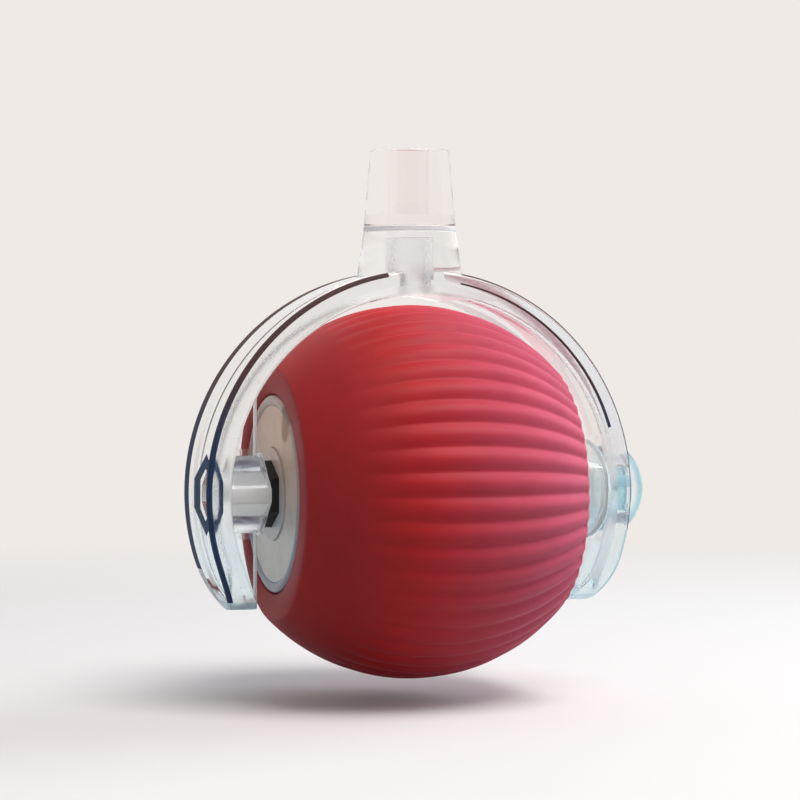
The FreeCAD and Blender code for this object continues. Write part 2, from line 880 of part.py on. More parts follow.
def port_leads():
    """Pair of leads from the port board, round the gears, to the main board."""
    start_x = port_board_x + port_board_thickness
    turn_x = (plate_end_x + wheel_x) / 2
    pair = []
    for x, z in zip(lead_xs, port_lead_zs):
        pair.append(lead([
            (start_x, -lead_pitch, z),
            (turn_x, -lead_pitch, z),
            (turn_x, -channel_y, z),
            (x, -channel_y, z),
            (x, -channel_y, board_middle_z),
            (x, -board_half_width, board_middle_z),
        ]))
    return Part.makeCompound(pair)


def battery_leads():
    """Pair of leads from the battery's side, up to the main board."""
    pair = []
    for x in battery_lead_xs:
        pair.append(lead([
            (x, battery_half, battery_lead_z),
            (x, channel_y, battery_lead_z),
            (x, channel_y, board_middle_z),
            (x, board_half_width, board_middle_z),
        ]))
    return Part.makeCompound(pair)


def motor_leads():
    """Pair of leads from the motor's plastic end up to the main board."""
    x = motor_end_x - motor_cap_length / 2
    start_z = motor_z + math.sqrt(motor_radius ** 2 - (motor_lead_side - lead_radius) ** 2)
    pair = []
    for side in (-1, 1):
        y = side * motor_lead_side
        end = (x - lead_pitch, y + side * lead_pitch)
        pair.append(lead([
            (x, y, start_z),
            (x, y, start_z + motor_lead_run),
            (*end, board_z - motor_lead_run),
            (*end, board_z),
        ]))
    return Part.makeCompound(pair)


def motor_deck():
    """Deck that cradles the motor, over the battery, with the board's posts."""
    half = math.sqrt(core_inner ** 2 - deck_z ** 2) - seat_gap
    deck = block(deck_x0, deck_x1, -half, half, deck_z, deck_top_z)
    cheek_y = motor_radius - motor_flat_inset + seat_gap
    top = deck_top_z + deck_cheek_height
    cheeks = []
    for side in (-1, 1):
        y0 = min(side * cheek_y, side * (cheek_y + deck_cheek))
        cheeks.append(block(deck_x0, deck_x1, y0, y0 + deck_cheek, deck_top_z, top))
    posts = [rod_z(deck_top_z, board_z, post_radius, x, y) for x, y in post_places()]
    holes = [rod_z(board_z - deck_screw_depth, board_z, screw_radius, x, y) for x, y in post_places()]
    room = lead_radius + lead_gap
    first_x, last_x = battery_lead_xs
    notch = block(first_x - room, last_x + room, channel_y - room, half, deck_z, deck_top_z)
    return fused([deck] + cheeks + posts).cut(holes + [notch])


def battery_pad():
    """Foam pad between the battery and the deck."""
    x0 = deck_x0 + battery_end_gap
    x1 = deck_x1 - battery_end_gap
    return block(x0, x1, -battery_half, battery_half, battery_top_z, deck_z)


def battery():
    """Pouch cell under the deck."""
    x0 = deck_x0 + battery_end_gap
    x1 = deck_x1 - battery_end_gap
    cell = block(x0, x1, -battery_half, battery_half, battery_z, battery_top_z)
    long_edges = [edge for edge in cell.Edges if edge.BoundBox.XLength > battery_corner]
    return cell.makeFillet(battery_corner, long_edges)


def ballast():
    """Steel weight in the bottom of the core, which keeps it hanging down."""
    bar = rod_x(deck_x0, deck_x1, core_inner - seat_gap)
    size = 2 * core_radius
    return bar.common(block(deck_x0, deck_x1, -size, size, -size, ballast_top_z))


def circuit_board():
    """Main circuit board on its posts."""
    half = board_half_width
    x0 = deck_x0 + board_end_gap
    x1 = deck_x1 - board_end_gap
    board = block(x0, x1, -half, half, board_z, board_top_z)
    return board.cut([rod_z(board_z, board_top_z, screw_radius, x, y) for x, y in post_places()])


def board_parts():
    """Chips and other parts soldered on the main board."""
    middle = (deck_x0 + deck_x1) / 2
    parts = []
    for x, y, length, width, height in BOARD_PARTS.values():
        x0 = middle + x - length / 2
        y0 = y - width / 2
        parts.append(block(x0, x0 + length, y0, y0 + width, board_top_z, board_top_z + height))
    return Part.makeCompound(parts)


def core_screws():
    """Screws of the gear plate, the cover and the board, as one group."""
    screws = [screw_x(motor_x, plate_end_x, y, z) for y, z in pillar_places()]
    screws += [screw_z(boss_height, -boss_screw_depth, boss_x, side * boss_y) for side in (-1, 1)]
    screws += [screw_z(board_top_z, board_z - deck_screw_depth, x, y) for x, y in post_places()]
    return Part.makeCompound(screws)


# Pivot hub


def domed_bar(x0, radius, gap):
    """Round bar from x0 that ends in the hub's dome, grown by gap."""
    swell = dome_radius + gap
    rim_x = dome_centre_x + math.sqrt(swell ** 2 - radius ** 2)
    tip_x = dome_centre_x + swell
    tilt = math.asin(radius / swell) / 2
    between = shift(dome_centre_x + swell * math.cos(tilt), swell * math.sin(tilt), 0)
    return turned([
        line((x0, 0), (x0, radius)),
        line((x0, radius), (rim_x, radius)),
        Part.Arc(shift(rim_x, radius, 0), between, shift(tip_x, 0, 0)).toShape(),
        line((tip_x, 0), (x0, 0)),
    ])


def pivot_hub():
    """Hollow clear hub with a domed end, which turns in the yoke's pocket."""
    flange = rod_x(-wall_out_x, -wall_out_x + hub_flange_thickness, hub_radius + hub_flange_width)
    body = fused([domed_bar(-wall_out_x, hub_radius, 0), flange])
    return body.cut(domed_bar(-wall_out_x, hub_radius - hub_wall, -hub_wall))


# Yoke


def arch_disc(radius):
    """Round slab with the arch's width."""
    return Part.makeCylinder(radius, arch_width, shift(0, -arch_width / 2, 0), ALONG_Y)


def arch_band():
    """Bent band with rounded arm ends and softened edges."""
    ring = arch_disc(arch_outer).cut(arch_disc(arch_inner))
    half = arch_width / 2
    size = 2 * arch_outer
    end_z = half - arm_drop
    above = block(-size, size, -size, size, end_z, size)
    tongue = rod_x(-size, size, half, 0, end_z)
    band = ring.common(fused([above, tongue]))
    rims = [
        edge for edge in band.Edges
        if isinstance(edge.Curve, Part.Circle) and edge.BoundBox.YLength < edge_match
        and abs(abs(edge.Curve.Center.y) - half) < edge_match
    ]
    return band.makeFillet(arch_edge, rims)


def key_outline(inset):
    """Outline of the drive sleeve: a square on its corner with two corners cut."""
    height = key_half_height - inset * math.sqrt(2)
    width = key_half_width - inset
    step = height - width
    return [(0, height), (-width, step), (-width, -step), (0, -height), (width, -step), (width, step)]


key_end_x = end_x - key_end_gap


def key_prism(inset, x1):
    """Bar of the drive sleeve's outline from the arch's outer face to x1."""
    bar = prism_x(key_outline(inset), -arch_outer - overrun, x1)
    return bar.common(arch_disc(arch_outer))


def arch_web():
    """Thin web that fills the driven arm's bow up to a straight edge."""
    half = web_thickness / 2
    edge_x = end_x - web_gap
    sheet = block(-arch_outer, edge_x, -half, half, -arm_drop, arch_outer)
    return sheet.common(arch_disc((arch_inner + arch_outer) / 2))


def tail_base():
    """Flared round base on top of the arch."""
    height = base_top_z - base_foot_z
    foot = shift(0, 0, base_foot_z)
    return Part.makeCone(base_foot_radius, base_top_radius, height, foot, ALONG_Z)


def tube_pin():
    """Cross pin that locks the tail tube in the base, just short of its skin."""
    z = arch_outer + tube_pin_rise
    share = (z - base_foot_z) / (base_top_z - base_foot_z)
    half = base_foot_radius + (base_top_radius - base_foot_radius) * share - tube_pin_inset
    return rod_x(-half, half, tube_pin_radius, 0, z)


def yoke_arch():
    """Clear C-shaped yoke."""
    body = fused([arch_band(), arch_web(), tail_base()])
    pocket = domed_bar(arch_inner - arch_thickness, hub_radius + pocket_gap, pocket_gap)
    knob_hole = rod_x(dome_x, arch_outer + overrun, pivot_hole_radius)
    spigot_hole = rod_z(arch_inner - arch_thickness, base_top_z, spigot_radius + spigot_fit)
    return body.cut([key_prism(0, key_end_x), pocket, knob_hole, spigot_hole, tube_pin()])


def drive_sleeve():
    """Hollow key of the yoke, with the hexagonal nose that enters the hub."""
    sleeve = key_prism(0, key_end_x)
    room = prism_x(key_outline(key_wall), -arch_outer - overrun, key_end_x - key_floor)
    nose_radius = hex_corner_radius - nose_fit
    nose = prism_x(hexagon(nose_radius), key_end_x - key_floor, recess_floor_x - nose_end_gap)
    bore_radius = nose_radius - nose_wall / math.cos(math.radians(30))
    bore = prism_x(hexagon(bore_radius), key_end_x - key_floor, recess_floor_x)
    return fused([sleeve.cut(room), nose]).cut(bore)


def pivot_knob():
    """Domed clear knob plugged into the free arm from outside."""
    radius = (knob_radius ** 2 + knob_height ** 2) / (2 * knob_height)
    ball = Part.makeSphere(radius, shift(arch_outer + knob_height - radius, 0, 0))
    dome = ball.common(rod_x(arch_outer, arch_outer + knob_height, knob_radius))
    skirt = rod_x(arch_outer - arch_thickness, arch_outer, knob_radius)
    body = fused([dome, skirt]).cut(arch_disc(arch_outer))
    spigot_x = dome_x + dome_height + knob_end_gap
    return fused([body, rod_x(spigot_x, arch_outer + knob_spigot_root, pivot_hole_radius)])


def tube_collar():
    """Thin ring between the base and the tail tube."""
    ring = rod_z(base_top_z, collar_top_z, base_top_radius)
    return ring.cut(rod_z(base_top_z, collar_top_z, spigot_radius + spigot_fit))


def tail_tube():
    """Tapered tail socket with the spigot that locks into the base."""
    foot = shift(0, 0, collar_top_z)
    tube = Part.makeCone(tube_foot_radius, tube_top_radius, tube_height, foot, ALONG_Z)
    rim = [edge for edge in tube.Edges if edge.BoundBox.ZMin > mouth_z - edge_match]
    tube = tube.makeFillet(tube_edge, rim)
    spigot = rod_z(arch_inner, collar_top_z, spigot_radius)
    bore = rod_z(mouth_z - tail_bore_depth, mouth_z, tail_bore_radius)
    hollow = rod_z(arch_inner, arch_inner + spigot_bore_depth, spigot_bore_radius)
    return fused([tube, spigot]).cut([bore, hollow, tube_pin()])


NODES = [
    yoke_arch, tail_tube, tube_collar, tube_pin, drive_sleeve, pivot_knob,
    silicone_sleeve, left_shell, right_shell, left_cap, left_cap_rim, right_cap, right_cap_rim,
    drive_bush, axle_bush, pivot_hub, ring_gear, ring_screws,
    drive_hub, hex_liner, charging_jack, button_switch, port_board, status_led, power_button,
    idler_pinion, idler_wheel, motor_pinion, motor_shaft,
    core_frame, core_cover, gear_plate, drive_motor, motor_cap, motor_deck,
    battery, battery_pad, ballast, circuit_board, board_parts, core_screws,
    port_leads, battery_leads, motor_leads,
]

os.makedirs("parts", exist_ok=True)
for make in NODES:
    solid = make()
    solid.translate(shift(0, 0, -mouth_z))
    solid.exportStep("parts/" + make.__name__ + ".step")
    print(make.__name__, len(solid.Solids), round(solid.Volume, 2), solid.isValid())
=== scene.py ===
"""Looks of a motorised cat ball: a fluted silicone ball in a clear yoke with a tail socket."""
import logging
import math
from dataclasses import dataclass
from enum import Enum

import bmesh
import bpy
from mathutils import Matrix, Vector
from mathutils.bvhtree import BVHTree
from mathutils.interpolate import poly_3d_calc


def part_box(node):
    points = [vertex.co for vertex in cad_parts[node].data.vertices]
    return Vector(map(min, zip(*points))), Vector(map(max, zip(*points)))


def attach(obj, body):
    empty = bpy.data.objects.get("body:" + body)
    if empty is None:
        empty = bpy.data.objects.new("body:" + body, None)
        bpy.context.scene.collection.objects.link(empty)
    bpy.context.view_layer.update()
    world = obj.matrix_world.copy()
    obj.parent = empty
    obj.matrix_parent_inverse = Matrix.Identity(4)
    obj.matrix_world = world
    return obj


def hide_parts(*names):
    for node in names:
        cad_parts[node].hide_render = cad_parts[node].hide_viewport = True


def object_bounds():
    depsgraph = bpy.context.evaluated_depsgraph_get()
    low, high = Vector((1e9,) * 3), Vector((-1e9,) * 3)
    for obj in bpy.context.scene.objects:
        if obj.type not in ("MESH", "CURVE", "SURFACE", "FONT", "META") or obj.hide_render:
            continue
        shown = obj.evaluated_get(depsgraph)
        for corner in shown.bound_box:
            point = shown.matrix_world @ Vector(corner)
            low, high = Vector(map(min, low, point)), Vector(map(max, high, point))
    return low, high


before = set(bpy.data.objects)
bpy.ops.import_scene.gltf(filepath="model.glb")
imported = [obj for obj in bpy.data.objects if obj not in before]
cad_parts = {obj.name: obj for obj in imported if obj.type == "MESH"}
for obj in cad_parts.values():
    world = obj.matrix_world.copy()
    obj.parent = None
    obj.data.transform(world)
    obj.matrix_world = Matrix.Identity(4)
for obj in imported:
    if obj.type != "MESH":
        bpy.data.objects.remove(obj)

LOG = logging.getLogger("cat_ball")
MM = 0.001
TURNED_SIDES = 144
CREASE = math.radians(35)
# Cosine between two faces that count as facing the same way
SAME_WAY = 0.9
# How far a carved surface may lie from the one that it came from
CARRY_REACH = 0.01 * MM
# Share of the way into its face at which a corner looks for that surface
INWARD_SHARE = 0.02
# How far a cutting solid runs past what it cuts
SPARE = 1.0 * MM
# Values of a noise between which its specks and its clouds fade in
SPECK_FADE = (0.35, 0.65)
CLOUD_FADE = (0.3, 0.7)
ALONG_X = Vector((1, 0, 0))
ALONG_Y = Vector((0, 1, 0))
ALONG_Z = Vector((0, 0, 1))
CAD_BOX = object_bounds()
BALL_CENTRE = sum(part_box("silicone_sleeve"), Vector()) / 2

Colour = tuple[float, float, float]
Material = bpy.types.Material
Outline = list[tuple[float, float]]
Solid = bpy.types.Object
Socket = bpy.types.NodeSocket
Steps = list[tuple[str, Solid]]


class Shades:
    """Node tree of a material or of the surroundings, with short calls for what they share."""

    def __init__(self, tree: bpy.types.NodeTree) -> None:
        """Takes the tree to build in."""
        self.nodes, self.links = tree.nodes, tree.links

    def add(self, kind: str) -> bpy.types.Node:
        """Adds a node of one kind, such as Mix."""
        return self.nodes.new(f"ShaderNode{kind}")

    def feed(self, target: Socket, value: Socket | Colour | float) -> None:
        """Gives a socket its value.

        Args:
            target: the socket to set.
            value: another socket, a linear colour or a number.
        """
        if isinstance(value, Socket):
            self.links.new(value, target)
        else:
            target.default_value = (*value, 1.0) if isinstance(value, tuple) else value

    def maths(self, operation: str, *values: Socket | float) -> Socket:
        """Works out one sum.

        Args:
            operation: the sum's name, as the Math node has it.
            values: its one or two values.

        Returns:
            The result.
        """
        node = self.add("Math")
        node.operation = operation
        for place, value in enumerate(values):
            self.feed(node.inputs[place], value)
        return node.outputs[0]

    def product(self, first: Socket, *others: Socket | float) -> Socket:
        """Multiplies values.

        Args:
            first: the first value.
            others: the values to multiply it by.

        Returns:
            The product.
        """
        for other in others:
            first = self.maths("MULTIPLY", first, other)
        return first

    def reach(self, first: Socket, second: Socket) -> Socket:
        """Distance from an axis, out of the two places across it."""
        squares = (self.product(place, place) for place in (first, second))
        return self.maths("SQRT", self.maths("ADD", *squares))

    def stretch(self, value: Socket, start: float, end: float, low: float = 0.0, high: float = 1.0) -> Socket:
        """Moves a value from one range to another, eased and held at its ends.

        Args:
            value: the value to move.
            start: the value that gives low.
            end: the value that gives high.
            low: the result at start.
            high: the result at end.

        Returns:
            The moved value.
        """
        node = self.add("MapRange")
        node.interpolation_type = "SMOOTHSTEP"
        given = {"Value": value, "From Min": start, "From Max": end, "To Min": low, "To Max": high}
        for name, number in given.items():
            self.feed(node.inputs[name], number)
        return node.outputs["Result"]

    def mix(self, share: Socket, first: Socket | Colour, second: Socket | Colour, way: str = "MIX") -> Socket:
        """Blends two colours.

        Args:
            share: 0 for the first colour, 1 for the whole effect of the second.
            first: a socket or a linear colour.
            second: a socket or a linear colour.
            way: how the second acts on the first, as the Mix node has it.

        Returns:
            The blended colour.
        """
        node = self.add("Mix")
        node.data_type = "RGBA"
        node.blend_type = way
        for name, value in (("Factor", share), ("A", first), ("B", second)):
            self.feed(node.inputs[name], value)
        return node.outputs["Result"]

    def tint(self, share: Socket, colour: Socket | Colour, second: Colour) -> Socket:
        """Colour multiplied by a second one where share is high."""
        return self.mix(share, colour, second, "MULTIPLY")

    def rays(self, *kinds: str) -> Socket:
        """Tells rays apart by what they are for.

        Args:
            kinds: the kinds to look for, such as Camera.

        Returns:
            1 for a ray of one of these kinds, 0 for any other.
        """
        path = self.add("LightPath")
        found, *others = (path.outputs[f"Is {kind} Ray"] for kind in kinds)
        for other in others:
            found = self.maths("MAXIMUM", found, other)
        return found

    def blend(self, share: Socket, first: Socket, second: Socket) -> Socket:
        """Blends two shaders.

        Args:
            share: 0 for the first, 1 for the second.
            first: a shader's output.
            second: a shader's output.

        Returns:
            The blended shader.
        """
        node = self.add("MixShader")
        for place, value in enumerate((share, first, second)):
            self.feed(node.inputs[place], value)
        return node.outputs[0]


class Recipe(Shades):
    """Node tree of one material, round its main shader."""

    def __init__(self, name: str, **values: object) -> None:
        """Starts a material that holds only its main shader.

        Args:
            name: the material's name.
            values: constants of the shader's own sockets, with underscores for spaces.
        """
        self.material = bpy.data.materials.new(name)
        self.material.use_nodes = True
        super().__init__(self.material.node_tree)
        self.shader = self.nodes["Principled BSDF"]
        self.surface = self.nodes["Material Output"].inputs["Surface"]
        for socket, value in values.items():
            self.shader.inputs[socket.replace("_", " ")].default_value = value

    def give(self, name: str, value: Socket) -> None:
        """Links a value to one of the main shader's sockets."""
        self.feed(self.shader.inputs[name], value)

    def place(self) -> Socket:
        """Object coordinates, in metres."""
        return self.add("TexCoord").outputs["Object"]

    def from_centre(self) -> tuple[Socket, Socket, Socket]:
        """Measures places from the ball's centre.

        Returns:
            X, Y and Z, in metres.
        """
        shift = self.add("VectorMath")
        shift.operation = "SUBTRACT"
        split = self.add("SeparateXYZ")
        self.feed(shift.inputs[0], self.place())
        shift.inputs[1].default_value = tuple(BALL_CENTRE)
        self.feed(split.inputs[0], shift.outputs[0])
        return split.outputs[0], split.outputs[1], split.outputs[2]

    def across(self, start: float, end: float) -> Socket:
        """Share of the way between two places on X, from the ball's centre."""
        return self.stretch(self.from_centre()[0], start, end)

    def upwards(self, start: float, end: float) -> Socket:
        """Share of the way between two heights, from the ball's centre."""
        return self.stretch(self.from_centre()[2], start, end)

    def noise(self, grain: float, detail: float = 2.0) -> Socket:
        """Noise in object space.

        Args:
            grain: size of one lump, in metres.
            detail: number of finer layers.

        Returns:
            The noise's value, about 0.5 on average.
        """
        node = self.add("TexNoise")
        node.inputs["Scale"].default_value = 1.0 / grain
        node.inputs["Detail"].default_value = detail
        self.feed(node.inputs["Vector"], self.place())
        return node.outputs["Fac"]

    def grazing(self, start: float, end: float, low: float = 0.0, high: float = 1.0) -> Socket:
        """Tells where clear plastic is seen at a low angle.

        Args:
            start: the layer weight that gives low.
            end: the layer weight that gives high.
            low: the result where the surface faces the viewer.
            high: the result where it is seen edge on.

        Returns:
            The value between low and high.
        """
        return self.stretch(self.add("LayerWeight").outputs["Facing"], start, end, low, high)

    def bump(self, height: Socket, depth: float) -> None:
        """Lays a height on the surface, over any that it has.

        Args:
            height: the height, 0 to 1.
            depth: real height of a step of 1, in metres.
        """
        node = self.add("Bump")
        node.inputs["Distance"].default_value = depth
        for earlier in self.shader.inputs["Normal"].links:
            self.feed(node.inputs["Normal"], earlier.from_socket)
        self.feed(node.inputs["Height"], height)
        self.give("Normal", node.outputs["Normal"])

    def speckled(self, colour: Socket | Colour, shade: Colour, grain: float) -> Socket:
        """Colour multiplied by a shade in fine specks of one size."""
        return self.tint(self.stretch(self.noise(grain), *SPECK_FADE), colour, shade)

    def let_lamps_through(self, share: float) -> Material:
        """Lets rays to the lamps pass the surface unbent, so that it casts a light shadow.

        Args:
            share: share of the light that passes.

        Returns:
            The finished material.
        """
        clear = self.add("BsdfTransparent")
        self.feed(clear.inputs["Color"], (share, share, share))
        blend = self.blend(self.rays("Shadow"), self.shader.outputs[0], clear.outputs[0])
        self.feed(self.surface, blend)
        return self.material


class Frosted(Enum):
    """A place where the clear plastic keeps the mould's fine texture."""

    ARM_EDGE = "inner edges of the arms, low down"
    ARM_SIDE = "front and back of the arms"
    ARM_END = "rounded ends of the arms"
    KEY = "outside of the key"
    FOOT = "underside of the tail socket"
    HOLLOW = "hollow of the tail socket"


@dataclass(frozen=True)
class ClearPlastic:
    """Polished clear plastic, faintly blue low down as a painted reflection of cool light."""

    name: str
    frosted: tuple[Frosted, ...] = ()
    colour: Colour = (0.97, 0.985, 0.99)
    # Painted reflection: faint blue towards the bottom
    low_painted_colour: Colour = (0.82, 0.95, 1.0)
    low_heights: tuple[float, float] = (6.0 * MM, -10.0 * MM)
    index: float = 1.5
    clarity: float = 1.0
    roughness: float = 0.015
    frost_roughness: float = 0.4
    wave: float = 3.5 * MM
    wave_depth: float = 0.01 * MM
    grain: float = 0.22 * MM
    grain_depth: float = 0.03 * MM
    lamp_share: float = 0.92
    # Painted teal reflection where the plastic is seen edge on
    grazing_painted_tint: Colour | None = None
    edge_angles: tuple[float, float] = (0.42, 0.68)
    edge_radius: float = 24.3 * MM
    edge_side: float = 5.0 * MM
    edge_heights: tuple[float, float] = (13.0 * MM, 2.0 * MM)
    end_level: float = -11.6 * MM
    key_start: float = -23.0 * MM
    key_stop: float = -17.9 * MM
    key_high: float = 5.2 * MM
    key_share: float = 0.35
    face_side: float = 5.7 * MM
    face_full: float = -8.0 * MM
    driven_share: float = 0.55
    free_share: float = 0.25
    foot_level: float = 22.5 * MM
    hollow_reach: float = 2.0 * MM
    soft: float = 0.12 * MM
    edge_soft: float = 0.24 * MM
    end_soft: float = 0.96 * MM

    def mask(self, recipe: Recipe, place: Frosted) -> Socket:
        """Where one frosted place lies.

        Args:
            recipe: the material being built.
            place: the frosted place.

        Returns:
            1 inside the place and 0 outside it.
        """
        soft = self.soft
        x, y, z = recipe.from_centre()
        side = recipe.maths("ABSOLUTE", y)
        if place is Frosted.ARM_END:
            return recipe.stretch(z, self.end_level + self.end_soft, self.end_level - self.end_soft)
        if place is Frosted.KEY:
            high = recipe.maths("ABSOLUTE", z)
            outer = recipe.stretch(x, self.key_stop + soft, self.key_stop)
            return recipe.product(
                recipe.stretch(high, self.key_high + soft, self.key_high),
                recipe.stretch(x, self.key_start, self.key_start + soft),
                recipe.product(outer, self.key_share),
            )
        if place is Frosted.ARM_SIDE:
            beside = recipe.stretch(side, self.face_side - soft, self.face_side)
            driven = recipe.stretch(x, 0.0, self.face_full, self.free_share, self.driven_share)
            return recipe.product(beside, driven)
        if place is Frosted.HOLLOW:
            within = recipe.stretch(recipe.reach(x, y), self.hollow_reach + soft, self.hollow_reach)
        else:
            inner = self.edge_radius
            within = recipe.stretch(recipe.reach(x, z), inner + self.edge_soft, inner - self.edge_soft)
        if place is Frosted.ARM_EDGE:
            beside = recipe.stretch(side, self.edge_side - soft, self.edge_side)
            return recipe.product(within, beside, recipe.stretch(z, *self.edge_heights))
        return recipe.product(within, recipe.stretch(z, self.foot_level - soft, self.foot_level + soft))

    def material(self) -> Material:
        """Builds the material.

        Returns:
            The material.
        """
        recipe = Recipe(self.name, Roughness=self.roughness, IOR=self.index, Transmission_Weight=self.clarity)
        # Painted blue reflection, stronger low down
        colour = recipe.mix(recipe.upwards(*self.low_heights), self.colour, self.low_painted_colour)
        # Painted teal reflection at low angles
        if self.grazing_painted_tint is not None:
            colour = recipe.tint(recipe.grazing(*self.edge_angles), colour, self.grazing_painted_tint)
        recipe.give("Base Color", colour)
        recipe.bump(recipe.noise(self.wave, detail=1.0), self.wave_depth)
        if self.frosted:
            total, *others = (self.mask(recipe, place) for place in self.frosted)
            for other in others:
                total = recipe.maths("MAXIMUM", total, other)
            recipe.give("Roughness", recipe.stretch(total, 0.0, 1.0, self.roughness, self.frost_roughness))
            recipe.bump(recipe.product(recipe.noise(self.grain), total), self.grain_depth)
        return recipe.let_lamps_through(self.lamp_share)


@dataclass(frozen=True)
class PaintedEdgeShade:
    """Painted shade along the clear plastic's thick edges, dark navy low down and brown higher up."""

    name: str
    low_painted_colour: Colour = (0.025, 0.055, 0.14)
    high_painted_colour: Colour = (0.1, 0.05, 0.05)
    heights: tuple[float, float] = (4.0 * MM, 15.0 * MM)
    roughness: float = 0.55
    index: float = 1.5
    transmission: float = 0.08
    low_angles: tuple[float, float] | None = None
    clear_colour: Colour = (0.95, 0.98, 0.99)
    clear_roughness: float = 0.02
    shade: Colour = (0.6, 0.6, 0.6)
    grain: float = 0.15 * MM
    grain_depth: float = 0.005 * MM
    lamp_share: float = 0.8

    def material(self) -> Material:
        """Builds the material, clear except at low angles where these are given.

        Returns:
            The material.
        """
        recipe = Recipe(
            self.name, Roughness=self.roughness, IOR=self.index, Transmission_Weight=self.transmission,
            Specular_IOR_Level=0.05,
        )
        # Painted shade, navy low down and brown higher up
        colour = recipe.mix(recipe.upwards(*self.heights), self.low_painted_colour, self.high_painted_colour)
        colour = recipe.speckled(colour, self.shade, self.grain)
        # Where these angles are given, the painted shade shows only where the plastic is seen at a low angle
        if self.low_angles is not None:
            colour = recipe.mix(recipe.grazing(*self.low_angles), self.clear_colour, colour)
            recipe.give("Transmission Weight", recipe.grazing(*self.low_angles, 1.0, self.transmission))
            recipe.give("Roughness", recipe.grazing(*self.low_angles, self.clear_roughness, self.roughness))
        recipe.give("Base Color", colour)
        recipe.bump(recipe.noise(self.grain), self.grain_depth)
        return recipe.let_lamps_through(self.lamp_share)


@dataclass(frozen=True)
class Frosting:
    """Clear plastic with the mould's fine texture all over."""

    name: str
    colour: Colour
    shade: Colour
    roughness: float
    transmission: float
    grain: float
    grain_depth: float
    lamp_share: float = 0.9

    def material(self) -> Material:
        """Builds the material.

        Returns:
            The material.
        """
        recipe = Recipe(self.name, Roughness=self.roughness, IOR=1.5, Transmission_Weight=self.transmission)
        recipe.give("Base Color", recipe.speckled(self.colour, self.shade, self.grain))
        recipe.bump(recipe.noise(self.grain), self.grain_depth)
        return recipe.let_lamps_through(self.lamp_share)


@dataclass(frozen=True)
class Silicone:
    """Matte fine-grained silicone, a little pinker towards the free end as painted light, with painted shade
    darkening the driven end.
    """

    name: str = "silicone"
    driven_colour: Colour = (0.48, 0.007, 0.009)
    # Painted light: the lighter, pinker colour of the free end
    painted_lit_colour: Colour = (0.59, 0.085, 0.15)
    fade: tuple[float, float] = (-8.0 * MM, 15.0 * MM)
    # Painted shade that darkens the driven end
    painted_end_shade: Colour = (0.68, 0.85, 0.85)
    end_shade_reach: tuple[float, float] = (-3.0 * MM, -13.5 * MM)
    roughness: float = 0.58
    cloud: float = 3.0 * MM
    cloud_fade: tuple[float, float] = (0.3, 0.8)
    cloud_tint: Colour = (0.9, 0.9, 0.9)
    grain: float = 0.12 * MM
    grain_depth: float = 0.012 * MM

    def material(self) -> Material:
        """Builds the material.

        Returns:
            The material.
        """
        recipe = Recipe(
            self.name, Roughness=self.roughness, IOR=1.38, Sheen_Weight=0.06, Sheen_Roughness=0.35,
            Sheen_Tint=(1.0, 0.7, 0.95, 1.0),
        )
        # Painted light, pinker towards the free end
        colour = recipe.mix(recipe.across(*self.fade), self.driven_colour, self.painted_lit_colour)
        # Painted shade towards the driven end
        colour = recipe.tint(recipe.across(*self.end_shade_reach), colour, self.painted_end_shade)
        cloud = recipe.stretch(recipe.noise(self.cloud), *self.cloud_fade)
        recipe.give("Base Color", recipe.tint(cloud, colour, self.cloud_tint))
        recipe.bump(recipe.noise(self.grain, detail=3.0), self.grain_depth)
        return recipe.material


@dataclass(frozen=True)
class MouldedPlastic:
    """Moulded plastic or plain metal with a fine texture and a slightly uneven gloss."""

    name: str
    colour: Colour
    roughness: float = 0.4
    metallic: float = 0.0
    cloud: float = 2.0 * MM
    cloud_range: tuple[float, float] = (0.9, 1.08)
    gloss: float = 1.2 * MM
    gloss_range: tuple[float, float] = (0.85, 1.15)
    grain: float = 0.25 * MM
    grain_depth: float = 0.006 * MM

    def material(self) -> Material:
        """Builds the material.

        Returns:
            The material.
        """
        recipe = Recipe(self.name, IOR=1.5, Metallic=self.metallic)
        colours = [tuple(min(1.0, share * c) for c in self.colour) for share in self.cloud_range]
        recipe.give("Base Color", recipe.mix(recipe.noise(self.cloud, detail=3.0), *colours))
        rough = [min(1.0, share * self.roughness) for share in self.gloss_range]
        recipe.give("Roughness", recipe.stretch(recipe.noise(self.gloss), *CLOUD_FADE, *rough))
        recipe.bump(recipe.noise(self.grain), self.grain_depth)
        return recipe.material


@dataclass(frozen=True)
class CapPlastic:
    """Grey translucent plastic of the end caps, with painted light: warm at the top, cooler low down."""

    name: str
    # Painted light: warm colour at the top, cooler low down
    high_painted_colour: Colour = (0.72, 0.5, 0.38)
    low_painted_colour: Colour = (0.72, 0.72, 0.68)
    heights: tuple[float, float] = (6.0 * MM, -6.0 * MM)
    roughness: float = 0.3
    rough_share: float = 1.3
    cloud: float = 2.5 * MM
    cloud_tint: Colour = (0.9, 0.89, 0.88)
    gloss: float = 1.0 * MM
    grain: float = 0.2 * MM
    grain_depth: float = 0.005 * MM

    def material(self) -> Material:
        """Builds the material.

        Returns:
            The material.
        """
        recipe = Recipe(
            self.name, IOR=1.5, Transmission_Weight=0.12, Subsurface_Weight=0.35,
            Subsurface_Radius=(1.2 * MM, 0.9 * MM, 0.7 * MM),
        )
        # Painted light, warm at the top and cooler low down
        colour = recipe.mix(recipe.upwards(*self.heights), self.high_painted_colour, self.low_painted_colour)
        cloud = recipe.stretch(recipe.noise(self.cloud, detail=3.0), *CLOUD_FADE)
        recipe.give("Base Color", recipe.tint(cloud, colour, self.cloud_tint))
        rough = (self.roughness, self.rough_share * self.roughness)
        recipe.give("Roughness", recipe.stretch(recipe.noise(self.gloss), *CLOUD_FADE, *rough))
        recipe.bump(recipe.noise(self.grain), self.grain_depth)
        return recipe.material


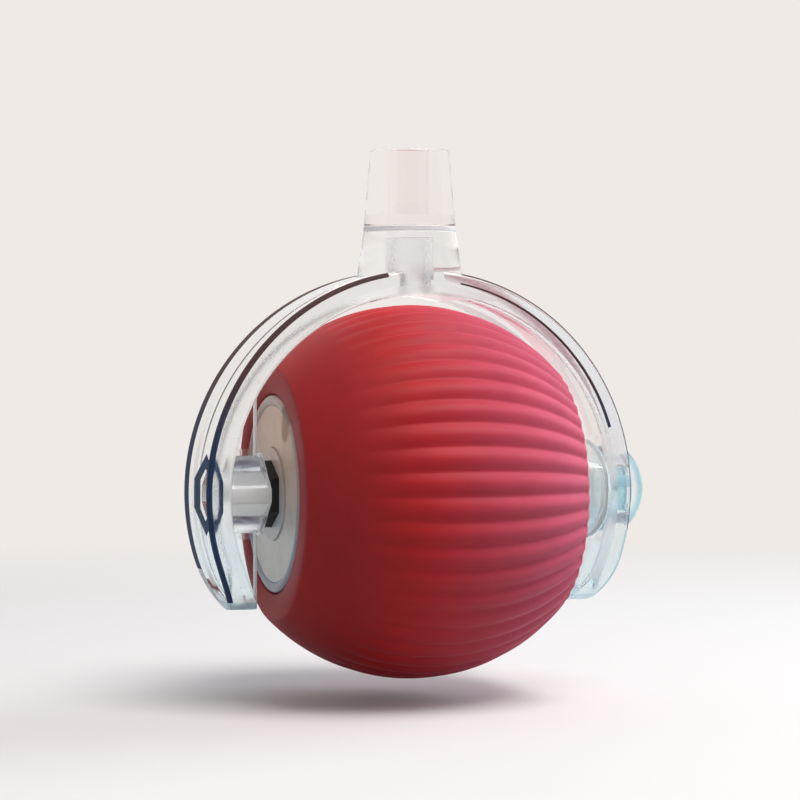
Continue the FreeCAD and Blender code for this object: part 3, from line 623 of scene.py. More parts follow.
def dress(finish: ClearPlastic | CapPlastic | MouldedPlastic, *nodes: str) -> None:
    """Gives CAD nodes a finish.

    Args:
        finish: the finish to build.
        nodes: names of the CAD nodes.
    """
    material = finish.material()
    for node in nodes:
        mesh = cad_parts[node].data
        mesh.materials.clear()
        mesh.materials.append(material)
    LOG.info("%s on %s", finish.name, ", ".join(nodes))


def add_object(name: str, data: bpy.types.ID) -> bpy.types.Object:
    """Puts a mesh, lamp or camera in the scene.

    Args:
        name: the object's name.
        data: what it shows.

    Returns:
        The new object.
    """
    added = bpy.data.objects.new(name, data)
    bpy.context.scene.collection.objects.link(added)
    return added


def add_mesh(name: str, points: list[Vector], faces: list[tuple[int, ...]]) -> Solid:
    """Adds a smooth mesh object.

    Args:
        name: the object's name.
        points: its corners, in the row frame.
        faces: corner numbers of each face.

    Returns:
        The new object.
    """
    mesh = bpy.data.meshes.new(name)
    mesh.from_pydata([tuple(p) for p in points], [], faces)
    mesh.shade_smooth()
    mesh.update()
    return add_object(name, mesh)


def finish_piece(
    piece: Solid, body: str, nodes: tuple[str, ...], material: Material | None = None
) -> None:
    """Makes a solid one of the part's pieces.

    Args:
        piece: the solid.
        body: the body that it rides on.
        nodes: the CAD nodes that it stands for.
        material: its finish, or none to keep those that it has.
    """
    if material is not None:
        piece.data.materials.clear()
        piece.data.materials.append(material)
    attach(piece, body)
    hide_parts(*nodes)
    LOG.info("%s built with %d faces", piece.name, len(piece.data.polygons))


def carve(name: str, first: Solid, steps: Steps) -> Solid:
    """Joins, cuts or trims a closed solid with others, and removes them all.

    Args:
        name: name of the resulting solid.
        first: the solid to start from.
        steps: UNION, DIFFERENCE or INTERSECT with the other solid, in order.

    Returns:
        The resulting solid.
    """
    for operation, other in steps:
        modifier = first.modifiers.new("carve", "BOOLEAN")
        modifier.operation = operation
        modifier.solver = "MANIFOLD"
        modifier.material_mode = "TRANSFER"
        modifier.object = other
    mesh = bpy.data.meshes.new_from_object(first.evaluated_get(bpy.context.evaluated_depsgraph_get()))
    mesh.name = name
    for solid in (first, *(other for _, other in steps)):
        bpy.data.objects.remove(solid)
    return add_object(name, mesh)


def carry_normals(mesh: bpy.types.Mesh, sources: list[bpy.types.Mesh]) -> None:
    """Gives a carved mesh the corner normals of the meshes that it was carved from.

    Args:
        mesh: the mesh to shade.
        sources: the meshes whose surfaces it keeps, in the same frame.
    """
    corners: list[Vector] = []
    triangles: list[tuple[int, int, int]] = []
    flats: list[Vector] = []
    normals: list[Vector] = []
    for source in sources:
        source.calc_loop_triangles()
        shades = source.corner_normals
        for triangle in source.loop_triangles:
            first = len(corners)
            corners += [source.vertices[v].co for v in triangle.vertices]
            normals += [Vector(shades[loop].vector) for loop in triangle.loops]
            flats.append(Vector(triangle.normal))
            triangles.append((first, first + 1, first + 2))
    tree = BVHTree.FromPolygons(corners, triangles)
    result: list[Vector] = []
    for face in mesh.polygons:
        for vertex in face.vertices:
            place = mesh.vertices[vertex].co
            chosen, best = face.normal.copy(), SAME_WAY
            for _, _, number, _ in tree.find_nearest_range(place.lerp(face.center, INWARD_SHARE), CARRY_REACH):
                match = flats[number].dot(face.normal)
                if abs(match) > best:
                    best = abs(match)
                    three = triangles[number]
                    weights = poly_3d_calc([corners[t] for t in three], place)
                    chosen = sum((normals[t] * w for t, w in zip(three, weights)), Vector())
                    chosen *= math.copysign(1.0, match)
            result.append(chosen.normalized())
    mesh.shade_smooth()
    mesh.normals_split_custom_set(result)


def carve_smooth(name: str, first: Solid, steps: Steps) -> Solid:
    """Carves a solid and keeps the smooth shading of all that it is carved from.

    Args:
        name: name of the resulting solid.
        first: the solid to start from.
        steps: as for carve.

    Returns:
        The resulting solid.
    """
    solids = [first, *(other for _, other in steps)]
    for solid in solids:
        solid.data.set_sharp_from_angle(angle=CREASE)
    sources = [solid.data.copy() for solid in solids]
    piece = carve(name, first, steps)
    carry_normals(piece.data, sources)
    return piece


def turned(name: str, profile: Outline, start: Vector, along: Vector, looped: bool = False) -> Solid:
    """Turns a closed solid round an axis.

    Args:
        name: the solid's name.
        profile: distance along the axis and radius of each point.
        start: where the axis starts, in the row frame.
        along: the axis's direction, one unit long.
        looped: whether the profile's ends meet; otherwise flat faces close them.

    Returns:
        The solid.
    """
    turn = along.to_track_quat("Z", "Y").to_matrix()
    points: list[Vector] = []
    rings: list[list[int]] = []
    for run, radius in profile:
        first = len(points)
        sides = TURNED_SIDES if radius > 0 else 1
        for k in range(sides):
            angle = 2 * math.pi * k / TURNED_SIDES
            points.append(start + turn @ Vector((radius * math.cos(angle), radius * math.sin(angle), run)))
        rings.append([first + k % sides for k in range(TURNED_SIDES)])
    faces: list[tuple[int, ...]] = []
    for low, high in zip(rings, rings[1:] + rings[:1] if looped else rings[1:]):
        for k in range(TURNED_SIDES):
            j = (k + 1) % TURNED_SIDES
            faces.append(tuple(dict.fromkeys((low[k], low[j], high[j], high[k]))))
    if profile[0][1] > 0 and not looped:
        faces.append(tuple(reversed(rings[0])))
    if profile[-1][1] > 0 and not looped:
        faces.append(tuple(rings[-1]))
    return add_mesh(name, points, faces)


def bar(name: str, start: Vector, end: Vector, radius: float) -> Solid:
    """Adds a round bar between two points of the row frame."""
    run = end - start
    return turned(name, [(0.0, radius), (run.length, radius)], start, run.normalized())


def cross_bar(name: str, half: float, radius: float) -> Solid:
    """Adds a round bar along Y through the ball's centre, from its half length."""
    return bar(name, BALL_CENTRE - ALONG_Y * half, BALL_CENTRE + ALONG_Y * half, radius)


def dome(name: str, start: float, radius: float, sphere: float, centre: float, steps: int) -> Solid:
    """Adds a round solid along X that ends in a dome.

    Args:
        name: the solid's name.
        start: x of its flat end, from the ball's centre.
        radius: its radius.
        sphere: the dome's own radius.
        centre: x of the middle of the dome's sphere, from the ball's centre.
        steps: number of the dome's rings.

    Returns:
        The solid.
    """
    profile = [(0.0, radius)]
    rim = math.asin(radius / sphere)
    for k in range(steps + 1):
        angle = rim * (1 - k / steps)
        profile.append((centre + sphere * math.cos(angle) - start, sphere * math.sin(angle) if k < steps else 0.0))
    return turned(name, profile, BALL_CENTRE + ALONG_X * start, ALONG_X)


def between(name: str, low: list[Vector], high: list[Vector], clockwise: bool = False) -> Solid:
    """Adds a straight solid between two outlines.

    Args:
        name: the solid's name.
        low: corners of its first end.
        high: corners of its second end, in the same order.
        clockwise: whether they run clockwise as seen from beyond the second end.

    Returns:
        The solid.
    """
    count = len(low)
    ends = range(count), range(count, 2 * count)
    if clockwise:
        faces = [tuple(ends[0]), tuple(reversed(ends[1]))]
    else:
        faces = [tuple(reversed(ends[0])), tuple(ends[1])]
    for k in range(count):
        j = (k + 1) % count
        faces.append((j, k, count + k, count + j) if clockwise else (k, j, count + j, count + k))
    return add_mesh(name, low + high, faces)


def prism(name: str, outline: Outline, start: float, end: float) -> Solid:
    """Adds a straight bar along the spin axis, from its outline as (y, z) and its ends' x."""
    return between(name, *([BALL_CENTRE + Vector((x, y, z)) for y, z in outline] for x in (start, end)))


def six_corners(height: float, width: float, step: float) -> Outline:
    """Outline with a corner at the top and bottom and upright sides, from its half sizes."""
    return [(0, height), (-width, step), (-width, -step), (0, -height), (width, -step), (width, step)]


@dataclass
class SiliconeBall:
    """Fluted silicone ball, open at both ends, round the X axis."""

    name: str = "fluted_ball"
    body: str = "ball"
    node: str = "silicone_sleeve"
    radius: float = 22.0 * MM
    outline_radius: float = 23.5 * MM
    half_length: float = 17.0 * MM
    wall: float = 1.75 * MM
    corner: float = 1.0 * MM
    opening: float = 11.65 * MM
    lip: float = 0.25 * MM
    flutes: int = 48
    first_valley: float = math.radians(6.16)
    valley_softness: float = 0.12
    middle_depth: float = 0.47 * MM
    end_depth: float = 0.35 * MM
    fade_x: float = -11.8 * MM
    crease: float = math.radians(60)
    turns_per_flute: int = 16
    rings: int = 84
    corner_rings: int = 8
    inner_rings: int = 24

    def outline(self, x: float, inset: float = 0.0) -> float:
        """Radius of the ball's outline at x, moved in by inset."""
        return math.sqrt((self.outline_radius - inset) ** 2 - x * x) - (self.outline_radius - self.radius)

    def depth_at(self, x: float) -> float:
        """Depth of the flutes on a parabola through its three known depths.

        Args:
            x: place along the spin axis, from the ball's centre.

        Returns:
            The depth, in metres.
        """
        if x <= self.fade_x:
            return 0.0
        to_middle, to_end = -self.fade_x, self.half_length - self.fade_x
        slope_middle = self.middle_depth / to_middle
        bend = (self.end_depth / to_end - slope_middle) / (to_end - to_middle)
        run = x - self.fade_x
        return max(0.0, run * (slope_middle + bend * (run - to_middle)))

    def valley(self, turn: float) -> float:
        """Depth share round the ball.

        Args:
            turn: angle round the spin axis.

        Returns:
            0 on a lobe's crown, 1 in a valley.
        """
        phase = (turn - self.first_valley) * self.flutes / 2
        soft = self.valley_softness
        crown = math.sqrt(1 + soft * soft) - soft
        return 1 - (math.sqrt(math.sin(phase) ** 2 + soft * soft) - soft) / crown

    def section(self) -> list[tuple[float, float, float, float, float]]:
        """Works out the ball's closed section.

        Returns:
            Each point's x, radius, normal along x, normal along the radius and flute depth.
        """
        end = self.half_length
        drop = self.outline_radius - self.radius
        centre_radius = self.outline_radius - self.corner
        corner_x = end - self.corner
        corner_r = math.sqrt(centre_radius ** 2 - corner_x ** 2) - drop
        tilt = math.asin(corner_x / centre_radius)

        def rounded(side: int, share: float) -> tuple[float, float, float, float, float]:
            """Point of the section on an end's rounded corner.

            Args:
                side: 1 at the free end, -1 at the driven end.
                share: 0 at the outer surface, 1 at the flat face.

            Returns:
                The point, as in the section.
            """
            a = side * (tilt + (math.pi / 2 - tilt) * share)
            depth = self.end_depth * (1 - share) if side > 0 else 0.0
            x, r = side * corner_x + self.corner * math.sin(a), corner_r + self.corner * math.cos(a)
            return x, r, math.sin(a), math.cos(a), depth

        shares = [k / self.corner_rings for k in range(self.corner_rings + 1)]
        rows = [rounded(1, 1 - share) for share in shares]
        for k in range(1, self.rings):
            a = tilt - 2 * tilt * k / self.rings
            x, r = self.outline_radius * math.sin(a), self.outline_radius * math.cos(a) - drop
            rows.append((x, r, math.sin(a), math.cos(a), self.depth_at(x)))
        rows += [rounded(-1, share) for share in shares]
        wall_x = end - self.wall
        places = [-wall_x + 2 * wall_x * k / self.inner_rings for k in range(self.inner_rings + 1)]
        inside = [
            (-end, self.opening + self.lip), (-end + self.lip, self.opening), (-wall_x, self.opening),
            *((x, self.outline(x, self.wall)) for x in places),
            (wall_x, self.opening), (end - self.lip, self.opening), (end, self.opening + self.lip),
        ]
        return rows + [(x, r, 0.0, 0.0, 0.0) for x, r in inside]

    def build(self) -> None:
        """Builds and dresses the ball."""
        rows = self.section()
        around = self.flutes * self.turns_per_flute
        points: list[Vector] = []
        for k in range(around):
            turn = 2 * math.pi * k / around
            share = self.valley(turn)
            for x, r, nx, nr, depth in rows:
                reach = r - nr * depth * share
                points.append(BALL_CENTRE + Vector((
                    x - nx * depth * share, reach * math.cos(turn), reach * math.sin(turn),
                )))
        count = len(rows)
        faces: list[tuple[int, ...]] = []
        for k in range(around):
            near, far = k * count, (k + 1) % around * count
            for i in range(count):
                j = (i + 1) % count
                faces.append((near + i, near + j, far + j, far + i))
        ball = add_mesh(self.name, points, faces)
        ball.data.set_sharp_from_angle(angle=self.crease)
        finish_piece(ball, self.body, (self.node,), Silicone().material())


class Strip(Enum):
    """Lengthwise strip of the arms' surface."""

    PLAIN = "no strip"
    # The edge, line and ridge strips carry painted shade along parts of the arms
    FAR_EDGE = "outer edge of the back"
    NEAR_EDGE = "outer edge of the front"
    FRONT_LINE = "fine line on the front"
    FRONT_RIDGE = "ridge of the front's outer edge"
    OUTSIDE = "outer side between its edges"


class Finish(Enum):
    """Finish of one area of the clear yoke, as its place in the list of its finishes."""

    CLEAR = 0
    LINE = 1
    # Painted shade on the back's outer edge, seen at low angles
    EDGE = 2
    # Frosting, tinted cyan as a painted reflection
    RIM = 3
    # Dark painted shade on the walls of the ring round the key's root
    BAND = 4
    WINDOW = 5
    # Painted shade lines along the front of the arms
    RIDGE = 6


@dataclass
class ClearYoke:
    """C-shaped arms, web, solid key and socket base, moulded in one piece."""

    name: str = "clear_yoke"
    nose_name: str = "key_nose"
    body: str = "root"
    inner_radius: float = 23.1 * MM
    outer_radius: float = 26.0 * MM
    half_width: float = 5.8 * MM
    end_centre: float = -7.55 * MM
    arm_drop: float = 13.35 * MM
    rounding: float = 0.5 * MM
    most_share: float = 0.9
    # Widths of the painted shade strips along the back and front outer edges
    far_band: float = 2.6 * MM
    near_band: float = 0.9 * MM
    # Turn above which the driven arm's outer strips carry no painted shade
    band_top: float = -10.0
    # Dark navy painted shade of the ring round the key's root
    ring_painted_shade_colour: Colour = (0.015, 0.06, 0.15)
    far_start: float = 4.0
    far_end: float = -9.0 * MM
    # Corner steps of the front edge that carry a painted shade ridge
    ridge: tuple[int, ...] = (3, 4, 5)
    # Reach from the centre and turns of the fine painted shade line on the front
    line_start: tuple[float, float] = (24.7 * MM, 24.9 * MM)
    line_end: tuple[float, float] = (24.1 * MM, 24.5 * MM)
    line_turns: tuple[float, float] = (9.0, 71.0)
    end_frost: float = -12.4 * MM
    free_frost: float = -4.5 * MM
    ring_half_height: float = 4.6 * MM
    ring_half_width: float = 5.1 * MM
    ring_corner: float = 1.65 * MM
    ring_width: float = 2.8 * MM
    ring_place: float = -24.15 * MM
    ring_depth: float = 0.06 * MM
    web_half: float = 0.45 * MM
    web_edge: float = -18.7 * MM
    web_taper: float = 0.38 * MM
    web_radius: float = 24.55 * MM
    base_profile: tuple[tuple[float, float], ...] = (
        (24.8, 6.3), (30.5, 5.465), (30.56, 5.40), (30.64, 5.40), (30.7, 5.45), (31.1, 5.45), (31.2, 5.36),
    )
    groove_level: float = 30.4 * MM
    hollow_radius: float = 1.9 * MM
    hollow_top: float = 29.6 * MM
    key_half_height: float = 4.9 * MM
    key_half_width: float = 4.1 * MM
    key_root: float = -24.4 * MM
    key_end: float = -18.0 * MM
    bevel: float = 0.16 * MM
    nose_radius: float = 3.88 * MM
    nose_wall: float = 0.67 * MM
    nose_end: float = -14.6 * MM
    nose_gap: float = 0.02 * MM
    pocket_radius: float = 5.95 * MM
    pocket_start: float = 20.2 * MM
    pocket_sphere: float = 8.219 * MM
    pocket_centre: float = 17.431 * MM
    hole_radius: float = 4.1 * MM
    hole_start: float = 23.0 * MM
    hole_length: float = 5.0 * MM
    seat_start: float = 24.3 * MM
    seat_length: float = 4.0 * MM
    seat_step: float = 0.02 * MM
    seat_frost: float = 3.0 * MM
    seat_mark: tuple[float, float] = (0.4 * MM, 1.8 * MM)
    top_steps: int = 180
    side_steps: int = 16
    end_steps: int = 28
    corner_steps: int = 8
    dome_steps: int = 24

    def __post_init__(self) -> None:
        """Builds the yoke's finishes, in the order of Finish."""
        finishes = (
            ClearPlastic("yoke_plastic", tuple(Frosted)),
            Frosting(
                "frosted_line", (0.93, 0.93, 0.92), (0.85, 0.87, 0.9), roughness=0.5, transmission=0.35,
                grain=0.1 * MM, grain_depth=0.01 * MM,
            ),
            PaintedEdgeShade("painted_edge_shade", low_angles=(0.45, 0.6)),
            # Real frosting, with a painted cyan reflection in its colour
            Frosting(
                "frosted_rim_painted_cyan", (0.5, 0.78, 0.87), (0.75, 0.85, 0.95), roughness=0.32, transmission=0.85,
                grain=0.2 * MM, grain_depth=0.04 * MM,
            ),
            PaintedEdgeShade("painted_ring_shade", self.ring_painted_shade_colour, self.ring_painted_shade_colour, index=1.01, transmission=0.0),
            ClearPlastic("window_plastic", index=1.05),
            PaintedEdgeShade("painted_ridge_shade"),
        )
        self.finishes = [finish.material() for finish in finishes]

    def coated(self, piece: Solid, finish: Finish | None = None) -> Solid:
        """Gives a solid the yoke's finishes.

        Args:
            piece: the solid.
            finish: the finish of all its faces, or none to keep what they have.

        Returns:
            The same solid.
        """
        for material in self.finishes:
            piece.data.materials.append(material)
        if finish is not None:
            for face in piece.data.polygons:
                face.material_index = finish.value
        return piece

    def stations(self) -> list[tuple[Vector, Vector, float]]:
        """Places the arms' sections, from arm end to arm end.

        Returns:
            Inner point, outer point and half width of each.
        """
        inner, outer = self.inner_radius, self.outer_radius
        levels = [self.end_centre * k / self.side_steps for k in range(1, self.side_steps + 1)]
        levels += [
            self.end_centre - self.half_width * math.sin(math.pi / 2 * k / self.end_steps)
            for k in range(1, self.end_steps)
        ]
        lower = []
        for z in levels:
            below = min(0.0, z - self.end_centre)
            half = math.sqrt(self.half_width ** 2 - below * below)
            lower.append((math.sqrt(inner ** 2 - z * z), math.sqrt(outer ** 2 - z * z), z, half))
        result = [(Vector((-p, 0, z)), Vector((-q, 0, z)), half) for p, q, z, half in reversed(lower)]
        for k in range(self.top_steps + 1):
            turn = math.pi * (k / self.top_steps - 0.5)
            out = Vector((math.sin(turn), 0, math.cos(turn)))
            result.append((inner * out, outer * out, self.half_width))
        return result + [(Vector((p, 0, z)), Vector((q, 0, z)), half) for p, q, z, half in lower]

    def section(self, inner: Vector, outer: Vector, half: float) -> list[tuple[Vector, Strip]]:
        """Rounded cross-section of the arms.

        Args:
            inner: middle of its inner side, from the ball's centre.
            outer: middle of its outer side, from the ball's centre.
            half: half of its width.

        Returns:
            Points in the row frame, each with the strip that starts there.
        """
        out = (outer - inner).normalized()
        middle = (inner + outer) / 2
        deep = (outer - inner).length / 2
        soft = min(self.rounding, self.most_share * half, self.most_share * deep)
        far, near = (min(band, self.most_share * half) for band in (self.far_band, self.near_band))
        turn = math.degrees(math.atan2(outer.x, outer.z))
        first, last = self.line_turns
        run = min(1.0, max(0.0, (turn - first) / (last - first)))
        low, high = (
            start + (end - start) * run - (self.inner_radius + self.outer_radius) / 2
            for start, end in zip(self.line_start, self.line_end)
        )
        points: list[tuple[Vector, Strip]] = []

        def add(reach: float, y: float, strip: Strip = Strip.PLAIN) -> None:
            """Adds one point at a reach from the section's middle and a place across it."""
            points.append((BALL_CENTRE + middle + out * reach + Vector((0, y, 0)), strip))

        def add_corner(quarter: int, side_out: int, side_y: int, strip: Strip = Strip.PLAIN) -> None:
            """Adds one rounded corner.

            Args:
                quarter: quarter turns after which its arc starts.
                side_out: 1 on the outer side, -1 on the inner side.
                side_y: 1 at the back, -1 at the front.
                strip: the strip that it lies in.
            """
            for k in range(self.corner_steps + 1):
                angle = math.pi / 2 * (quarter + k / self.corner_steps)
                kind = Strip.PLAIN if strip is Strip.FAR_EDGE and k == self.corner_steps else strip
                if strip is Strip.NEAR_EDGE and k in self.ridge:
                    kind = Strip.FRONT_RIDGE
                add(
                    side_out * (deep - soft) + soft * math.cos(angle),
                    side_y * (half - soft) + soft * math.sin(angle),
                    kind,
                )

        add(deep, half - far, Strip.FAR_EDGE)
        add_corner(0, 1, 1, Strip.FAR_EDGE)
        add(high, half)
        add(low, half)
        add_corner(1, -1, 1)
        add_corner(2, -1, -1)
        add(low, -half, Strip.FRONT_LINE)
        add(high, -half)
        add_corner(3, 1, -1, Strip.NEAR_EDGE)
        add(deep, -(half - near), Strip.OUTSIDE)
        return points

    def arm_finish(self, turn: float, height: float, strip: Strip) -> Finish:
        """Finish of one face of the arms.

        Args:
            turn: degrees from the top, positive to the free end.
            height: height of the place above the ball's centre.
            strip: the strip that the face lies in.

        Returns:
            The face's finish.
        """
        outer = strip not in (Strip.PLAIN, Strip.FRONT_LINE)
        free = turn > 0
        edge = outer and strip is not Strip.OUTSIDE
        if height < self.end_frost or (edge and free and height < self.free_frost):
            return Finish.RIM
        # Below its top, the driven arm's outer strips carry painted shade
        if not free:
            if not outer or turn > self.band_top:
                return Finish.CLEAR
            if strip is Strip.FAR_EDGE:
                return Finish.RIM if height < self.far_end else Finish.EDGE
            return Finish.WINDOW if strip is Strip.OUTSIDE else Finish.RIDGE
        if strip is Strip.FAR_EDGE and turn > self.far_start:
            return Finish.LINE
        first, last = self.line_turns
        # Painted shade line and ridge along the front of the free arm
        dark = strip is Strip.FRONT_LINE and first < turn < last or strip is Strip.FRONT_RIDGE and turn > first
        return Finish.RIDGE if dark else Finish.CLEAR

    def arms(self) -> Solid:
        """Bends the band, with rounded edges and rounded arm ends.

        Returns:
            The arms.
        """
        stations = self.stations()
        rings = [self.section(*station) for station in stations]
        count = len(rings[0])
        faces: list[tuple[int, ...]] = []
        finishes: list[Finish] = []
        for k in range(len(rings) - 1):
            outer = stations[k][1]
            turn = math.degrees(math.atan2(outer.x, outer.z))
            for i in range(count):
                j = (i + 1) % count
                faces.append((k * count + j, k * count + i, (k + 1) * count + i, (k + 1) * count + j))
                finishes.append(self.arm_finish(turn, outer.z, rings[k][i][1]))
        faces.append(tuple(range(count)))
        faces.append(tuple(range(len(rings) * count - 1, (len(rings) - 1) * count - 1, -1)))
        finishes += [Finish.CLEAR] * 2
        arms = self.coated(add_mesh("arms", [p for ring in rings for p, _ in ring], faces))
        for face, finish in zip(arms.data.polygons, finishes):
            face.material_index = finish.value
        return arms

    def web(self) -> Solid:
        """Makes the thin web that fills the driven arm's bow up to a straight tapered edge.

        Returns:
            The web.
        """
        disc = self.coated(cross_bar("web_disc", 2 * self.web_half, self.web_radius))
        half, end, back = self.web_half, self.web_edge, -self.outer_radius
        slope, left = end - self.web_taper, half - self.web_taper
        outline = [(back, -half), (slope, -half), (end, -left), (end, left), (slope, half), (back, half)]
        heights = (-self.arm_drop, self.outer_radius)
        room = between("web_room", *([BALL_CENTRE + Vector((x, y, z)) for x, y in outline] for z in heights))
        for face in self.coated(room).data.polygons:
            if face.center.x > BALL_CENTRE.x + slope:
                face.material_index = Finish.LINE.value
        return carve("web", disc, [("INTERSECT", room)])

    def base(self) -> Solid:
        """Turns the flared base of the tail socket, frosted along its groove.

        Returns:
            The base.
        """
        profile = [(z * MM, r * MM) for z, r in self.base_profile]
        base = self.coated(turned("base", profile, BALL_CENTRE, ALONG_Z))
        for face in base.data.polygons:
            if face.center.z - BALL_CENTRE.z > self.groove_level and abs(face.normal.z) < SAME_WAY:
                face.material_index = Finish.LINE.value
        return base

    def key(self) -> Solid:
        """Makes the solid bar of the key, with frosted flats and fine bevels.

        Returns:
            The key.
        """
        height, width = self.key_half_height, self.key_half_width
        outline = six_corners(height, width, height - width)
        key = self.coated(prism("key", outline, self.key_root, self.key_end))
        line = Finish.LINE.value
        for face in key.data.polygons:
            if abs(face.normal.y) > SAME_WAY:
                face.material_index = line
        shape = bmesh.new()
        shape.from_mesh(key.data)
        start = BALL_CENTRE.x + self.key_root + self.bevel
        edges = [edge for edge in shape.edges if any(vertex.co.x > start for vertex in edge.verts)]
        bmesh.ops.bevel(shape, geom=edges, offset=self.bevel, segments=1, affect="EDGES", material=line)
        shape.to_mesh(key.data)
        shape.free()
        return key

    def ring(self) -> Solid:
        """Makes the thin six-cornered ring of air inside the driven arm, round the key's root, with a dark painted
        shade on its walls.

        Returns:
            The ring, to be cut out.
        """
        height, width, step = self.ring_half_height, self.ring_half_width, self.ring_corner
        start, end = self.ring_place, self.ring_place + self.ring_depth
        rise = self.ring_width * (height - step) / width
        outside = prism("ring_outside", six_corners(height, width, step), start, end)
        inner = six_corners(height - rise, width - self.ring_width, step)
        inside = prism("ring_inside", inner, start - SPARE, end + SPARE)
        steps = [("DIFFERENCE", self.coated(inside, Finish.BAND))]
        return carve("ring", self.coated(outside, Finish.BAND), steps)

    def knob_seat(self) -> Solid:
        """Makes the wider outer part of the knob's hole, frosted with a painted cyan reflection at its top and
        bottom.

        Returns:
            The seat, to be cut out.
        """
        start = BALL_CENTRE + ALONG_X * self.seat_start
        seat = bar("knob_seat", start, start + ALONG_X * self.seat_length, self.hole_radius + self.seat_step)
        low, high = self.seat_mark
        for face in self.coated(seat).data.polygons:
            height = face.center.z - BALL_CENTRE.z
            if abs(height) > self.seat_frost or low < height < high:
                face.material_index = Finish.RIM.value
        return seat

    def holes(self) -> list[Solid]:
        """Makes the yoke's plain cutters.

        Returns:
            The pivot hub's domed pocket, the knob's hole and the hollow of the base.
        """
        hole = BALL_CENTRE + ALONG_X * self.hole_start
        foot, top = (BALL_CENTRE + ALONG_Z * z for z in (self.inner_radius - SPARE, self.hollow_top))
        return [self.coated(solid) for solid in (
            dome(
                "pocket", self.pocket_start, self.pocket_radius, self.pocket_sphere, self.pocket_centre,
                self.dome_steps,
            ),
            bar("knob_hole", hole, hole + ALONG_X * self.hole_length, self.hole_radius),
            bar("hollow", foot, top, self.hollow_radius),
        )]

    def nose(self) -> None:
        """Builds and dresses the key's dark six-sided nose."""
        start = self.key_end + self.nose_gap
        wide, narrow = (
            six_corners(radius, radius * math.sin(math.pi / 3), radius / 2)
            for radius in (self.nose_radius, self.nose_radius - self.nose_wall)
        )
        outside = prism("nose", wide, start, self.nose_end)
        inside = prism("bore", narrow, start - SPARE, self.nose_end + SPARE)
        nose = carve(self.nose_name, outside, [("DIFFERENCE", inside)])
        nose.data.shade_flat()
        plastic = MouldedPlastic("nose_plastic", (0.004, 0.003, 0.003), 0.5)
        finish_piece(nose, self.body, ("drive_sleeve",), plastic.material())

    def build(self) -> None:
        """Builds and dresses the yoke and the key's nose."""
        joined = [self.web(), self.base(), self.key()]
        pocket, hole, hollow = self.holes()
        cut = [self.ring(), pocket, hole, self.knob_seat(), hollow]
        steps = [("UNION", solid) for solid in joined] + [("DIFFERENCE", solid) for solid in cut]
        yoke = carve_smooth(self.name, self.arms(), steps)
        mesh = yoke.data
        kept = list(mesh.materials)
        places = [self.finishes.index(kept[face.material_index]) for face in mesh.polygons]
        mesh.materials.clear()
        self.coated(yoke)
        for face, place in zip(mesh.polygons, places):
            face.material_index = place
        replaced = ("yoke_arch", "drive_sleeve", "tube_collar", "tube_pin")
        finish_piece(yoke, self.body, replaced)
        self.nose()


@dataclass
class PivotKnob:
    """Domed clear knob plugged into the free arm from outside."""

    name: str = "domed_knob"
    body: str = "root"
    radius: float = 5.6 * MM
    sphere: float = 6.402 * MM
    sphere_centre: float = 22.898 * MM
    seat_radius: float = 26.04 * MM
    skirt_start: float = 23.4 * MM
    spigot_radius: float = 4.05 * MM
    spigot: tuple[float, float] = (25.75 * MM, 26.8 * MM)
    # Painted teal reflection along the dome's edge, seen at low angles
    painted_rim_reflection: Colour = (0.12, 0.5, 0.64)
    steps: int = 28

    def build(self) -> None:
        """Builds and dresses the knob."""
        head = dome("knob_head", self.skirt_start, self.radius, self.sphere, self.sphere_centre, self.steps)
        seat = cross_bar("seat", 2 * self.radius, self.seat_radius)
        spigot = bar("spigot", *(BALL_CENTRE + ALONG_X * x for x in self.spigot), self.spigot_radius)
        knob = carve_smooth(self.name, head, [("DIFFERENCE", seat), ("UNION", spigot)])
        plastic = ClearPlastic("knob_plastic", grazing_painted_tint=self.painted_rim_reflection)
        finish_piece(knob, self.body, ("pivot_knob",), plastic.material())


class End(Enum):
    """An end of the ball, as the sign of its side on X."""

    DRIVEN = -1
    FREE = 1


